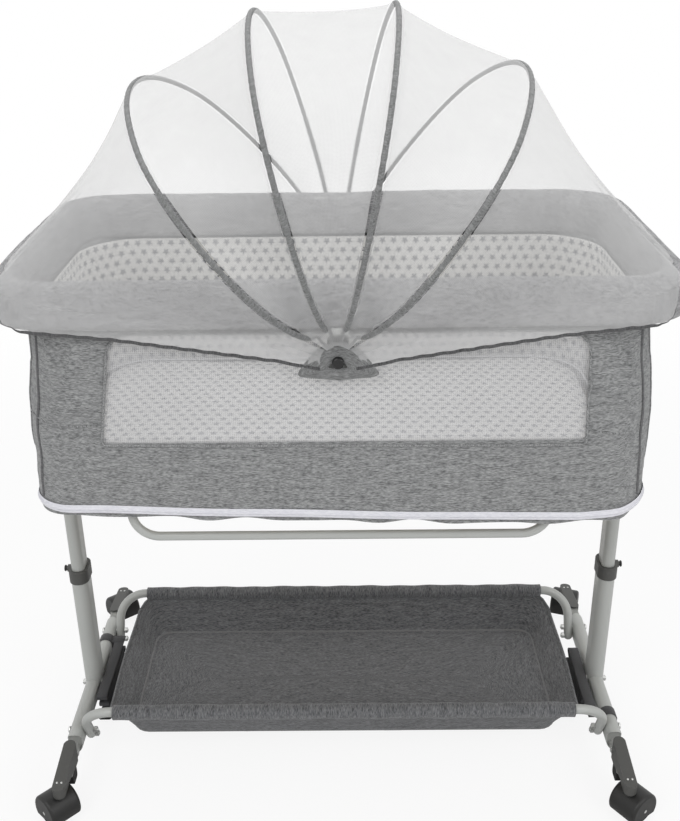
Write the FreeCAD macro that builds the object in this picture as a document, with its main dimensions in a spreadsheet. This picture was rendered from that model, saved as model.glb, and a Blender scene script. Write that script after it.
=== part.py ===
import FreeCAD, Part
import math
import os
import re

import Sketcher

# Bedside sleeper crib: two height-adjustable end stands on fold-up casters, a storage
# basket on two tubes, a fabric bassinet on a padded rail and a folding net canopy.
# X runs along the crib, -Y is the front, Z is up, and the origin is on the floor.

os.makedirs("parts", exist_ok=True)
Vector = FreeCAD.Vector
document = FreeCAD.newDocument("bedside_sleeper_crib")

DIMENSIONS = [
    # end stands
    ("leg_x", 452, "legs' centres, from the middle"),
    ("leg_width", 28, "outer leg along X"),
    ("leg_depth", 48, "outer leg along Y"),
    ("leg_wall", 2, "outer leg's wall"),
    ("leg_bottom", 58, "outer leg's lower end"),
    ("leg_top", 299, "outer leg's upper end"),
    ("inner_leg_width", 22, "sliding leg along X"),
    ("inner_leg_depth", 42, "sliding leg along Y"),
    ("inner_leg_wall", 1.5, "sliding leg's wall"),
    ("inner_leg_bottom", 199, "sliding leg's lower end"),
    ("glide_height", 24, "glide ring at the sliding leg's lower end"),
    ("running_clearance", 0.05, "radial clearance of what turns or slides"),
    ("seat_gap", 0.3, "gap between cloth and its neighbours"),
    ("overcut", 9, "how far a cut runs past what it opens"),
    ("cut_depth", 60, "depth of a cut that goes through a wall"),
    ("bore_depth", 40, "depth of a bore that goes through a wall"),
    ("foot_width", "=leg_width-2*leg_wall", "foot tube along X"),
    ("foot_height", 38, "foot tube's height"),
    ("foot_wall", 1.5, "foot tube's wall"),
    ("foot_z", 63, "foot tube's centre height"),
    ("foot_half_length", 170, "foot tube's half length"),
    ("leg_bolt_y", -8, "bolt through leg and foot"),
    ("leg_bolt_z", 66, "bolt through leg and foot"),
    ("collar_bottom", 287, "collar's lower edge"),
    ("collar_top", 311, "collar's upper edge"),
    ("collar_wall", 2.5, "collar's wall round the outer leg"),
    ("collar_edge", 1.5, "collar's rounded upper edge"),
    ("lug_reach", 4, "button lug beyond the collar"),
    ("lug_radius", 6.5, "button lug"),
    ("button_radius", 4, "height release button's stem"),
    ("button_cap_radius", 5.5, "height release button's cap"),
    ("button_cap_thickness", 2.2, "height release button's cap"),
    ("button_travel", 2.5, "height release button's stroke"),
    ("button_z", 305, "height release button's axis"),
    ("button_slack", "=4*seat_gap", "pressed button's stem from the sliding leg"),
    ("collar_trim", 20, "half width of the cut above the collar"),
    # corners: caps, pads and fold-up caster arms
    ("pivot_y", 185, "caster arm's pivot"),
    ("cope_radius", 27.7, "foot tube's end, cut round the pivot"),
    ("pin_radius", 3, "arm pivot pin"),
    ("pin_head_radius", 4.5, "arm pivot pin's heads"),
    ("pin_head_thickness", 1.5, "arm pivot pin's heads"),
    ("tongue_width", 14, "foot cap between the arm's cheeks"),
    ("cap_radius", 18, "foot cap's disc round the pivot"),
    ("cap_plug_start", 145, "foot cap's plug in the tube"),
    ("cap_plug_end", 157, "foot cap's plug in the tube"),
    ("neck_low", 49.3, "foot cap's neck, lower side"),
    ("neck_high", 56, "foot cap's neck, upper side"),
    ("tongue_end", 220, "foot cap's outer end"),
    ("tongue_low", 44, "foot cap's underside"),
    ("tongue_end_top", 60, "foot cap's top at its outer end"),
    ("neck_shoulder", "=cap_radius*0.7", "where the neck's upper side leaves the cap's disc"),
    ("pad_start", 192, "rubber pad's inner end"),
    ("pad_end", 216, "rubber pad's outer end"),
    ("pad_bottom", 22, "rubber pad's underside"),
    ("pad_round", 6, "rubber pad's rounded corners"),
    ("arm_width", 20, "caster arm across"),
    ("arm_gap", 15, "caster arm's channel"),
    ("arm_web", 3, "caster arm's top wall"),
    ("arm_start", 179, "caster arm's inner end"),
    ("arm_end", 279, "caster arm's outer end"),
    ("arm_start_top", 86, "caster arm's top at its inner end"),
    ("arm_end_top", 72, "caster arm's top at its outer end"),
    ("cheek_low", 49, "caster arm's cheeks at the pivot"),
    ("cheek_turn", 200, "where the cheeks' lower edge starts to rise"),
    ("cheek_high", 59, "caster arm's cheeks at the boss"),
    ("boss_start", 253, "solid end of the caster arm"),
    ("cheek_rise_end", "=boss_start-5", "where the cheeks' lower edge stops rising"),
    ("boss_low", 55, "solid end of the caster arm, underside"),
    ("swivel_y", 268, "caster's swivel axis"),
    ("stem_radius", 4, "caster's stem"),
    ("stem_top", 65, "caster's stem"),
    ("stem_bore_top", 66, "bore for the caster's stem"),
    ("wheel_radius", 25, "caster wheel"),
    ("wheel_width", 16, "caster wheel"),
    ("wheel_edge", 3, "caster wheel's rounded rim"),
    ("wheel_inner_side", 7, "caster wheel's inner side from the hood's middle"),
    ("trail", 12, "wheel's axle behind the swivel axis"),
    ("hood_radius", 29, "caster hood"),
    ("hood_half_width", 26, "caster hood"),
    ("hood_well_radius", 26.5, "hollow for a wheel"),
    ("hood_well_inner", 6.4, "hollow for a wheel, inner side"),
    ("hood_well_outer", 23.6, "hollow for a wheel, outer side"),
    ("hood_low", 12, "caster hood's lower edge"),
    ("hood_edge", 5, "caster hood's rounded edges"),
    ("hood_boss_radius", 8, "caster hood's swivel boss"),
    ("hood_boss_low", 49, "caster hood's swivel boss"),
    ("hood_boss_top", 54, "caster hood's swivel boss"),
    ("axle_radius", 3, "caster axle"),
    ("front_left_turn", 136, "way the front left caster trails"),
    ("front_right_turn", 36, "way the front right caster trails"),
    ("rear_left_turn", 129, "way the rear left caster trails"),
    ("rear_right_turn", 71, "way the rear right caster trails"),
    # basket tubes and their bolts
    ("tube_radius", 8, "basket tube"),
    ("tube_y", 168, "basket tube's straight run"),
    ("tube_z", 134, "basket tube's straight run"),
    ("tube_bend", 50, "basket tube's bends"),
    ("tube_tilt", 26, "basket tube's ends lean inward"),
    ("tube_drop", 45, "basket tube's straight ends"),
    ("tube_tip", 7, "basket tube's rounded tips"),
    ("tube_bolt_drop", 29, "middle of the two bolts below the bend"),
    ("tube_bolt_spacing", 16, "distance between the two bolts"),
    ("bolt_radius", 3, "frame bolt"),
    ("bolt_hole_radius", 3.1, "hole for a frame bolt"),
    ("bolt_head_radius", 5.5, "frame bolt's button head"),
    ("bolt_drive_radius", "=bolt_radius*0.6", "recess in a bolt's head"),
    ("bolt_head_height", 3, "frame bolt's button head"),
    ("bolt_end", 1.5, "frame bolt beyond its nut"),
    ("nut_radius", 5.5, "nut, across its corners' half"),
    ("nut_height", 5, "nut"),
    # storage basket and straps
    ("sleeve_half_length", 379, "basket's sleeves on the tubes"),
    ("sleeve_cloth", 2, "thickness of the basket's cloth"),
    ("basket_floor_z", 64, "basket's underside"),
    ("basket_wall_top", 127, "basket's walls meet the sleeves"),
    ("basket_floor_half_length", 358, "basket's floor"),
    ("basket_floor_half_depth", 135, "basket's floor"),
    ("basket_top_half_length", 388, "basket's mouth"),
    ("basket_top_half_depth", 165.6, "basket's mouth"),
    ("basket_corner", 28, "basket's upright corners"),
    ("flap_sag_radius", 300, "curve of the end walls' upper edge"),
    ("flap_low", 106, "lowest point of the end walls' upper edge"),
    ("webbing", 1.6, "thickness of the webbing"),
    ("webbing_width", 18, "width of the strap"),
    ("strap_outer_x", 434.5, "strap's outer edge"),
    ("strap_top_z", 76, "strap's first layer"),
    ("strap_pitch", 9, "distance between the strap's layers"),
    ("strap_layers", 6, "layers of the folded strap"),
    ("left_band_y", 101, "webbing band on the left foot"),
    ("right_band_y", -112, "webbing band on the right foot"),
    ("band_width", 20, "webbing band round the foot tube"),
    ("left_strap_near", 92, "left strap's folds next to its band"),
    ("left_strap_far", -56, "left strap's folds away from its band"),
    ("right_strap_near", -64, "right strap's folds next to its band"),
    ("right_strap_far", 62, "right strap's folds away from its band"),
    ("buckle_length", 30, "tri-glide buckle"),
    ("buckle_width", 22, "tri-glide buckle"),
    ("buckle_thickness", 3, "tri-glide buckle"),
    ("buckle_bar", 4, "tri-glide buckle's bars"),
    ("buckle_shift", "=buckle_length*0.2", "buckle's middle from the strap's far folds"),
    # rail and padded cover
    ("rail_radius", 9.5, "top rail's tube"),
    ("rail_wall", 1.5, "top rail's wall"),
    ("rail_y", 235.2, "top rail's half depth"),
    ("rail_z", 881.5, "top rail's height"),
    ("rail_corner", 76, "top rail's bends"),
    ("cover_half_length", 466, "padded rim"),
    ("cover_half_depth", 247.5, "padded rim"),
    ("cover_corner", 88, "padded rim's corners"),
    ("cover_top", 894, "padded rim's top"),
    ("cover_outer_low", 829, "padded rim's outer skirt"),
    ("cover_inner_low", 816, "padded rim's inner skirt"),
    ("cover_cloth", 2.5, "padded rim's thickness"),
    ("cover_edge", 9, "padded rim's rounded top edges"),
    ("mouth_half_length", 430, "opening inside the padded rim"),
    ("mouth_half_depth", 222, "opening inside the padded rim"),
    ("mouth_corner", 60, "opening's corners"),
    # bassinet body
    ("wall_half_length", 436.5, "fabric body"),
    ("wall_half_depth", 240.5, "fabric body"),
    ("wall_corner", 70, "fabric body's corners"),
    ("wall_cloth", 2, "fabric body's thickness"),
    ("wall_low", 556, "fabric body's underside"),
    ("wall_top", 828.7, "fabric body's upper edge"),
    ("window_half_length", 317, "front window"),
    ("window_low", 664, "front window's lower edge"),
    ("window_high", 822, "front window's upper edge"),
    ("window_low_corner", 14, "front window's lower corners"),
    ("window_high_corner", 60, "front window's upper corners"),
    ("mesh_thickness", 1.2, "window mesh"),
    ("mesh_columns", 22, "openings along the window mesh"),
    ("mesh_rows", 9, "openings up the window mesh"),
    ("mesh_border", 12, "window mesh's solid edge"),
    ("mesh_thread", 5, "window mesh between its openings"),
    ("liner_top", 815.7, "liner's upper edge"),
    ("liner_low", 558.3, "liner's lower edge"),
    ("liner_top_half_length", 433.5, "liner at its top"),
    ("liner_top_half_depth", 226, "liner at its top"),
    ("liner_low_half_length", 434, "liner at its foot"),
    ("liner_low_half_depth", 238, "liner at its foot"),
    ("liner_corner", "=wall_corner-wall_cloth", "liner's corners"),
    ("liner_cloth", 3, "liner's thickness"),
    ("liner_window_high", "=liner_top-3*cover_cloth", "liner's opening behind the window, top"),
    ("board_half_length", 428, "base board"),
    ("board_half_depth", 232, "base board"),
    ("board_corner", 60, "base board's corners"),
    ("board_thickness", 6, "base board"),
    ("mattress_half_length", 426, "mattress"),
    ("mattress_half_depth", 230, "mattress"),
    ("mattress_corner", 62, "mattress's corners"),
    ("mattress_low", 564.6, "mattress's underside"),
    ("mattress_side_top", 598, "mattress's side"),
    ("mattress_crown", 608, "mattress's middle"),
    ("mattress_draw", 6, "mattress drawn in at its seams"),
    ("mattress_swell", "=(mattress_crown-mattress_side_top)*0.7", "mattress's rise to its shoulder"),
    ("mattress_shoulder", "=mattress_corner-2", "mattress's shoulder, in from its side"),
    ("mattress_flat", "=2*mattress_shoulder", "mattress's flat middle, in from its side"),
    ("tape_low", 556.5, "zip tape's lower edge"),
    ("tape_high", 569, "zip tape's upper edge"),
    ("tape_thickness", 1.5, "zip tape"),
    ("zip_low", 575, "drop-side zips' lower end"),
    ("zip_thickness", 1.2, "drop-side zips"),
    ("zip_angle", 24, "drop-side zips' place on the corner"),
    ("zip_spread", 6, "drop-side zips' width on the corner"),
    ("hoop_radius", 6.5, "support hoop's tube"),
    ("hoop_wall", 1.2, "support hoop's wall"),
    ("hoop_y", -215, "support hoop"),
    ("hoop_z", 501, "support hoop's lower run"),
    ("hoop_half_length", 300, "support hoop"),
    ("hoop_bend", 38, "support hoop's bends"),
    # canopy
    ("hub_z", 790, "canopy's pivot"),
    ("bracket_width", 28, "canopy bracket"),
    ("bracket_inner_y", 242.2, "canopy bracket's inner face"),
    ("bracket_thickness", 2.5, "canopy bracket"),
    ("bracket_low", 773, "canopy bracket's lower end"),
    ("bracket_hook_low", "=rail_z-rail_radius*0.8", "lower ends of the bracket's hook"),
    ("stud_radius", 4, "canopy's pivot stud"),
    ("shoulder_radius", 7, "pivot stud's shoulder"),
    ("shoulder_end", 247.9, "pivot stud's shoulder"),
    ("eye_start", 248.2, "first bow's eye"),
    ("eye_thickness", 2, "bow's eye"),
    ("eye_pitch", 2.4, "distance between the eyes' layers"),
    ("eye_radius", 8, "bow's eye"),
    ("arm_tip_width", 5, "bow's flat arm at its outer end"),
    ("arm_tip_r", 42, "bow's flat arm, from the pivot"),
    ("patch_start", 258, "cloth patch over the eyes"),
    ("patch_thickness", 1.2, "cloth patch over the eyes"),
    ("patch_half_length", 52, "cloth patch"),
    ("patch_low", 764, "cloth patch's lower edge"),
    ("patch_tip_z", 769, "cloth patch's side tips"),
    ("patch_high", 811, "cloth patch's upper edge"),
    ("patch_top_half_length", "=patch_half_length*0.1", "cloth patch's upper edge"),
    ("knob_radius", 8, "canopy knob"),
    ("knob_length", 8, "canopy knob"),
    ("knob_edge", "=knob_length/3", "canopy knob's rounded edge"),
    ("bow_1_tilt", -41.3, "first bow from upright"),
    ("bow_2_tilt", -15.5, "second bow from upright"),
    ("bow_3_tilt", 11.4, "third bow from upright"),
    ("bow_4_tilt", 38.1, "fourth bow from upright"),
    ("bow_half_width", 356, "bow's widest point"),
    ("bow_wide_r", 179, "bow's widest point, from the pivot"),
    ("bow_top_r", 423, "bow's crown, from the pivot"),
    ("bow_side_radius", 206, "bow's side curves"),
    ("bow_rod_radius", 2.5, "bow's bare rod"),
    ("bow_sleeve_radius", 5, "bow in its cloth binding"),
    ("bow_sleeve_r", 76, "where the binding starts, from the pivot"),
    ("net_thickness", 1.2, "canopy net"),
    ("net_mid_top_r", 406, "net's crown midway between two bows"),
    ("net_mid_half_width", 336, "net's widest point midway between two bows"),
    ("net_start_r", 80, "net's lower edge, from the pivot"),
    ("net_start_y", 306, "net's lower edge at a bow"),
    ("fall_tilt", 56, "plane where the net falls clear of an outer bow"),
    ("fall_half_width", 312, "net in that plane, widest point"),
    ("fall_wide_r", 230, "net in that plane, widest point from the pivot"),
    ("fall_side_radius", 168, "net in that plane, side curves"),
    ("fall_top_r", 404, "net in that plane, crown from the pivot"),
    ("fall_foot_y", 280, "net in that plane, lower edge"),
    ("slope_tilt", 69, "plane where the net slopes to the padded rim"),
    ("slope_half_width", 268, "net in that plane, widest point"),
    ("slope_wide_r", 320, "net in that plane, widest point from the pivot"),
    ("slope_side_radius", 108, "net in that plane, side curves"),
    ("slope_top_r", 433, "net in that plane, crown from the pivot"),
    ("slope_foot_y", 262, "net in that plane, lower edge"),
    ("rim_tilt", 77.2, "plane where the net turns over the padded rim"),
    ("rim_half_width", "=cover_half_depth+4.5", "net in that plane, widest point"),
    ("rim_wide_r", 387, "net in that plane, widest point from the pivot"),
    ("rim_side_radius", "=cover_corner", "net in that plane, side curves"),
    ("rim_top_r", 476.5, "net in that plane, crown from the pivot"),
    ("rim_foot_y", "=cover_half_depth+3.5", "net in that plane, lower edge"),
    ("skirt_tilt", 79, "plane where the net hangs beside the padded rim"),
    ("skirt_half_width", "=cover_half_depth+4", "net in that plane, widest point"),
    ("skirt_wide_r", 391, "net in that plane, widest point from the pivot"),
    ("skirt_side_radius", "=cover_corner", "net in that plane, side curves"),
    ("skirt_top_r", 480.5, "net in that plane, crown from the pivot"),
    ("skirt_foot_y", "=cover_half_depth+3.5", "net in that plane, lower edge"),
    ("hem_tilt", 84, "plane of the net's hem"),
    ("hem_half_width", "=cover_half_depth+4", "net in that plane, widest point"),
    ("hem_wide_r", 384.5, "net in that plane, widest point from the pivot"),
    ("hem_side_radius", "=cover_corner", "net in that plane, side curves"),
    ("hem_top_r", 474, "net in that plane, crown from the pivot"),
    ("hem_foot_y", "=cover_half_depth+3.5", "net in that plane, lower edge"),
]

sheet = document.addObject("Spreadsheet::Sheet", "dims")
for row, (alias, amount, meaning) in enumerate(DIMENSIONS, start=1):
    sheet.set(f"A{row}", meaning)
    sheet.set(f"B{row}", str(amount))
    sheet.setAlias(f"B{row}", alias)
document.recompute()

ALIASES = {alias for alias, amount, meaning in DIMENSIONS}
LEFT_RIGHT = (("left", -1), ("right", 1))
FRONT_REAR = (("front", -1), ("rear", 1))
CORNERS = [
    (f"{end}_{side}", side_sign, end_sign)
    for end, end_sign in FRONT_REAR
    for side, side_sign in LEFT_RIGHT
]
AXIS_X = Vector(1, 0, 0)
AXIS_Y = Vector(0, 1, 0)
AXIS_Z = Vector(0, 0, 1)
nodes = []


def linked(expression):
    """The expression with each alias read from the sheet."""
    return re.sub(
        r"[a-z_][a-z0-9_]*",
        lambda word: f"dims.{word.group()}" if word.group() in ALIASES else word.group(),
        str(expression),
    )


def size(expression):
    """The expression's number."""
    return float(sheet.evalExpression(str(expression)))


def keep(feature):
    """Add a finished sub-part to the list that is written out."""
    nodes.append(feature)
    return feature


def new_body(label):
    body = document.addObject("PartDesign::Body", label)
    body.Label = label
    return body


def group(label, members):
    """One node of several separate solids."""
    compound = document.addObject("Part::Compound", label)
    compound.Label = label
    compound.Links = members
    return keep(compound)


def shaped(label, shape):
    """A node whose form no sketch feature fits."""
    feature = document.addObject("Part::Feature", label)
    feature.Label = label
    feature.Shape = shape
    return keep(feature)


def place(body, x="0", y="0", z="0", axis=AXIS_Z, angle="0"):
    """Move a body from its own frame to its place on the crib."""
    body.Placement = FreeCAD.Placement(Vector(0, 0, 0), FreeCAD.Rotation(axis, 1))
    body.setExpression("Placement.Base.x", linked(x))
    body.setExpression("Placement.Base.y", linked(y))
    body.setExpression("Placement.Base.z", linked(z))
    body.setExpression("Placement.Rotation.Angle", linked(angle))


# ---------------------------------------------------------------- sketches


def outline(body, plane, height="0"):
    """A sketch on one of the body's own planes, raised by a height along its normal."""
    sketch = body.newObject("Sketcher::SketchObject", f"{body.Name}_outline")
    origin = {feature.Role: feature for feature in body.Origin.OriginFeatures}
    sketch.AttachmentSupport = [(origin[plane], "")]
    sketch.MapMode = "FlatFace"
    sketch.setExpression("AttachmentOffset.Base.z", linked(height))
    return sketch


def bind(sketch, constraint, expression):
    index = sketch.addConstraint(constraint)
    sketch.setExpression(f"Constraints[{index}]", linked(expression))


def pin_point(sketch, geometry, point, x, y):
    """Fix a point's place from the sketch's origin."""
    bind(sketch, Sketcher.Constraint("DistanceX", -1, 1, geometry, point, size(x)), x)
    bind(sketch, Sketcher.Constraint("DistanceY", -1, 1, geometry, point, size(y)), y)


def join_tangent(sketch, first, count):
    """Close a run of lines and arcs, each tangent to the next."""
    for step in range(count):
        following = first + (step + 1) % count
        sketch.addConstraint(Sketcher.Constraint("Tangent", first + step, 2, following, 1))


def arc(x, y, radius, start, end):
    circle_line = Part.Circle(Vector(x, y, 0), AXIS_Z, radius)
    return Part.ArcOfCircle(circle_line, math.radians(start), math.radians(end))


def circle(sketch, x, y, radius):
    centre = Vector(size(x), size(y), 0)
    index = sketch.addGeometry(Part.Circle(centre, AXIS_Z, size(radius)), False)
    bind(sketch, Sketcher.Constraint("Radius", index, size(radius)), radius)
    pin_point(sketch, index, 3, x, y)


def slot(sketch, start, end, radius):
    """An outline with two straight sides and two half-round ends."""
    x0, y0, x1, y1 = [size(value) for value in (*start, *end)]
    r = size(radius)
    heading = math.degrees(math.atan2(y1 - y0, x1 - x0))
    side = Vector(-math.sin(math.radians(heading)), math.cos(math.radians(heading)), 0) * r
    near, far = Vector(x0, y0, 0), Vector(x1, y1, 0)
    first = sketch.addGeometry(arc(x0, y0, r, heading + 90, heading + 270), False)
    sketch.addGeometry(Part.LineSegment(near - side, far - side), False)
    sketch.addGeometry(arc(x1, y1, r, heading - 90, heading + 90), False)
    sketch.addGeometry(Part.LineSegment(far + side, near + side), False)
    join_tangent(sketch, first, 4)
    sketch.addConstraint(Sketcher.Constraint("Equal", first, first + 2))
    bind(sketch, Sketcher.Constraint("Radius", first, r), radius)
    pin_point(sketch, first, 3, *start)
    pin_point(sketch, first + 2, 3, *end)


def rounded_box(sketch, x_low, x_high, y_low, y_high, low_radius, high_radius=None):
    """A rectangle with rounded corners; the upper pair may have a radius of its own."""
    high_radius = high_radius or low_radius
    x0, x1, y0, y1 = [size(value) for value in (x_low, x_high, y_low, y_high)]
    low, high = size(low_radius), size(high_radius)
    first = sketch.addGeometry(
        Part.LineSegment(Vector(x0 + low, y0, 0), Vector(x1 - low, y0, 0)), False
    )
    sketch.addGeometry(arc(x1 - low, y0 + low, low, -90, 0), False)
    sketch.addGeometry(Part.LineSegment(Vector(x1, y0 + low, 0), Vector(x1, y1 - high, 0)), False)
    sketch.addGeometry(arc(x1 - high, y1 - high, high, 0, 90), False)
    sketch.addGeometry(Part.LineSegment(Vector(x1 - high, y1, 0), Vector(x0 + high, y1, 0)), False)
    sketch.addGeometry(arc(x0 + high, y1 - high, high, 90, 180), False)
    sketch.addGeometry(Part.LineSegment(Vector(x0, y1 - high, 0), Vector(x0, y0 + low, 0)), False)
    sketch.addGeometry(arc(x0 + low, y0 + low, low, 180, 270), False)
    join_tangent(sketch, first, 8)
    for index in (first, first + 4):
        sketch.addConstraint(Sketcher.Constraint("Horizontal", index))
    for index in (first + 2, first + 6):
        sketch.addConstraint(Sketcher.Constraint("Vertical", index))
    for index, radius in ((1, low_radius), (7, low_radius), (3, high_radius), (5, high_radius)):
        bind(sketch, Sketcher.Constraint("Radius", first + index, size(radius)), radius)
    bind(sketch, Sketcher.Constraint("DistanceY", -1, 1, first, 1, y0), y_low)
    bind(sketch, Sketcher.Constraint("DistanceX", -1, 1, first + 2, 1, x1), x_high)
    bind(sketch, Sketcher.Constraint("DistanceY", -1, 1, first + 4, 1, y1), y_high)
    bind(sketch, Sketcher.Constraint("DistanceX", -1, 1, first + 6, 1, x0), x_low)


def centred_box(sketch, half_length, half_depth, radius):
    rounded_box(
        sketch, f"-({half_length})", half_length, f"-({half_depth})", half_depth, radius
    )


def polygon(sketch, points):
    corners = [Vector(size(x), size(y), 0) for x, y in points]
    count = len(corners)
    for index in range(count):
        line = Part.LineSegment(corners[index], corners[(index + 1) % count])
        first = sketch.addGeometry(line, False) if index == 0 else first
        if index:
            sketch.addGeometry(line, False)
    for index in range(count):
        following = first + (index + 1) % count
        sketch.addConstraint(Sketcher.Constraint("Coincident", first + index, 2, following, 1))
    for index, (x, y) in enumerate(points):
        pin_point(sketch, first + index, 1, x, y)


def u_constraints(sketch, radius, turning_left=False):
    """Tie a line, arc, line, arc and line into one U of two equal bends."""
    arc_in, arc_out = (1, 2) if turning_left else (2, 1)
    joints = (
        (0, 2, 1, arc_in),
        (1, arc_out, 2, 1),
        (2, 2, 3, arc_in),
        (3, arc_out, 4, 1),
    )
    for geometry, point, following, start in joints:
        sketch.addConstraint(Sketcher.Constraint("Tangent", geometry, point, following, start))
    for line in (0, 4):
        sketch.addConstraint(Sketcher.Constraint("Vertical", line))
    for bend in (1, 3):
        bind(sketch, Sketcher.Constraint("Radius", bend, size(radius)), radius)


# ---------------------------------------------------------------- features


def extrude(body, kind, sketch, length, symmetric, backward):
    feature = body.newObject(f"PartDesign::{kind}", f"{body.Name}_{kind.lower()}")
    feature.Profile = sketch
    if length is None:
        feature.Type = "ThroughAll"
    else:
        feature.setExpression("Length", linked(length))
    if symmetric:
        feature.SideType = "Symmetric"
    feature.Reversed = backward
    document.recompute()
    return feature


def pad(body, sketch, length, symmetric=False, backward=False):
    return extrude(body, "Pad", sketch, length, symmetric, backward)


def pocket(body, sketch, length=None, symmetric=True, backward=False):
    return extrude(body, "Pocket", sketch, length, symmetric, backward)


def round_edges(body, radius, wanted):
    """Fillet the edges whose middle point satisfies a test."""
    base = body.Tip
    names = []
    for index, edge in enumerate(base.Shape.Edges, start=1):
        middle = edge.valueAt((edge.FirstParameter + edge.LastParameter) / 2)
        if wanted(middle):
            names.append(f"Edge{index}")
    feature = body.newObject("PartDesign::Fillet", f"{body.Name}_fillet")
    feature.Base = (base, names)
    feature.setExpression("Radius", linked(radius))
    document.recompute()


def sweep(body, profile, spine):
    feature = body.newObject("PartDesign::AdditivePipe", f"{body.Name}_pipe")
    feature.Profile = profile
    feature.Spine = (spine, [])
    document.recompute()


def loft(body, kind, sketches):
    feature = body.newObject(f"PartDesign::{kind}", f"{body.Name}_loft")
    feature.Profile = sketches[0]
    feature.Sections = sketches[1:]
    document.recompute()


# ---------------------------------------------------------------- end stands


def leg_section(sketch, sign, width, depth):
    """An obround tube section, its long side along Y."""
    straight = f"(({depth})-({width}))/2"
    x = f"{sign}*leg_x"
    slot(sketch, (x, f"-{straight}"), (x, straight), f"({width})/2")


def foot_section(sketch, x, inset="0"):
    """The foot tube's obround section, its long side upright."""
    straight = "(foot_height-foot_width)/2"
    slot(
        sketch,
        (x, f"foot_z-{straight}"),
        (x, f"foot_z+{straight}"),
        f"foot_width/2-({inset})",
    )


def bolt_places():
    """Where the basket tubes' bolts cross the foot tube, for the rear end."""
    places = []
    for step in (-1, 1):
        drop = f"(tube_bolt_drop+tube_bend+({step})*tube_bolt_spacing/2)"
        places.append((f"tube_y-{drop}*sin(tube_tilt)", f"tube_z-{drop}*cos(tube_tilt)"))
    return places


def foot_tube(name, sign):
    body = new_body(f"foot_tube_{name}")
    section = outline(body, "XZ_Plane")
    foot_section(section, f"{sign}*leg_x")
    foot_section(section, f"{sign}*leg_x", "foot_wall")
    pad(body, section, "2*foot_half_length", symmetric=True)
    cuts = outline(body, "YZ_Plane")
    for way in (-1, 1):
        circle(cuts, f"{way}*pivot_y", "foot_z", "cope_radius")
        for y, z in bolt_places():
            circle(cuts, f"{way}*({y})", z, "bolt_hole_radius")
    circle(cuts, "leg_bolt_y", "leg_bolt_z", "bolt_hole_radius")
    pocket(body, cuts)
    keep(body)


def outer_leg(name, sign):
    body = new_body(f"outer_leg_{name}")
    section = outline(body, "XY_Plane", "leg_bottom")
    leg_section(section, sign, "leg_width", "leg_depth")
    leg_section(section, sign, "leg_width-2*leg_wall", "leg_depth-2*leg_wall")
    pad(body, section, "leg_top-leg_bottom")
    saddle = outline(body, "XZ_Plane")
    foot_section(saddle, f"{sign}*leg_x")
    pocket(body, saddle)
    hole = outline(body, "YZ_Plane")
    circle(hole, "leg_bolt_y", "leg_bolt_z", "bolt_hole_radius")
    pocket(body, hole)
    keep(body)


def leg_collar(name, sign):
    body = new_body(f"leg_collar_{name}")
    outside = outline(body, "XY_Plane", "collar_bottom")
    leg_section(outside, sign, "leg_width+2*collar_wall", "leg_depth+2*collar_wall")
    pad(body, outside, "collar_top-collar_bottom")
    top = size("collar_top")
    round_edges(body, "collar_edge", lambda middle: abs(middle.z - top) < 0.01)
    face = "leg_width/2+collar_wall"
    lug = outline(body, "YZ_Plane", f"{sign}*(leg_x+{face}-1)")
    circle(lug, "0", "button_z", "lug_radius")
    pad(body, lug, "lug_reach+1", backward=sign < 0)
    trim = outline(body, "YZ_Plane", f"{sign}*leg_x")
    rounded_box(
        trim, "-collar_trim", "collar_trim", "collar_top-collar_edge/2", "collar_top+overcut", "1"
    )
    pocket(body, trim, "cut_depth", symmetric=True)
    socket = outline(body, "XY_Plane", "collar_bottom")
    leg_section(socket, sign, "leg_width", "leg_depth")
    pocket(body, socket, "leg_top-collar_bottom", symmetric=False, backward=True)
    mouth = outline(body, "XY_Plane", "collar_bottom")
    leg_section(mouth, sign, "inner_leg_width+2*seat_gap", "inner_leg_depth+2*seat_gap")
    pocket(body, mouth, "cut_depth", symmetric=False, backward=True)
    bore = outline(body, "YZ_Plane", f"{sign}*leg_x")
    circle(bore, "0", "button_z", "button_radius+running_clearance")
    pocket(body, bore, "bore_depth", symmetric=False, backward=sign > 0)
    keep(body)


def height_button(name, sign):
    body = new_body(f"height_button_{name}")
    lug_face = "leg_x+leg_width/2+collar_wall+lug_reach"
    cap_face = f"{lug_face}+button_travel+2*seat_gap"
    stem_end = "leg_x+inner_leg_width/2+button_travel+button_slack"
    stem = outline(body, "YZ_Plane", f"{sign}*({stem_end})")
    circle(stem, "0", "button_z", "button_radius")
    pad(body, stem, f"({cap_face})-({stem_end})", backward=sign < 0)
    cap = outline(body, "YZ_Plane", f"{sign}*({cap_face})")
    circle(cap, "0", "button_z", "button_cap_radius")
    pad(body, cap, "button_cap_thickness", backward=sign < 0)
    outer = size(f"{cap_face}+button_cap_thickness")
    round_edges(body, "button_cap_thickness/2", lambda middle: abs(abs(middle.x) - outer) < 0.01)
    keep(body)


# ---------------------------------------------------------------- corners


def corner_body(label, side_sign, end_sign):
    """A body drawn with the front's outward way along -Y, then set at its corner."""
    body = new_body(label)
    place(body, x=f"{side_sign}*leg_x", angle="0" if end_sign < 0 else "180")
    return body


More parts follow.
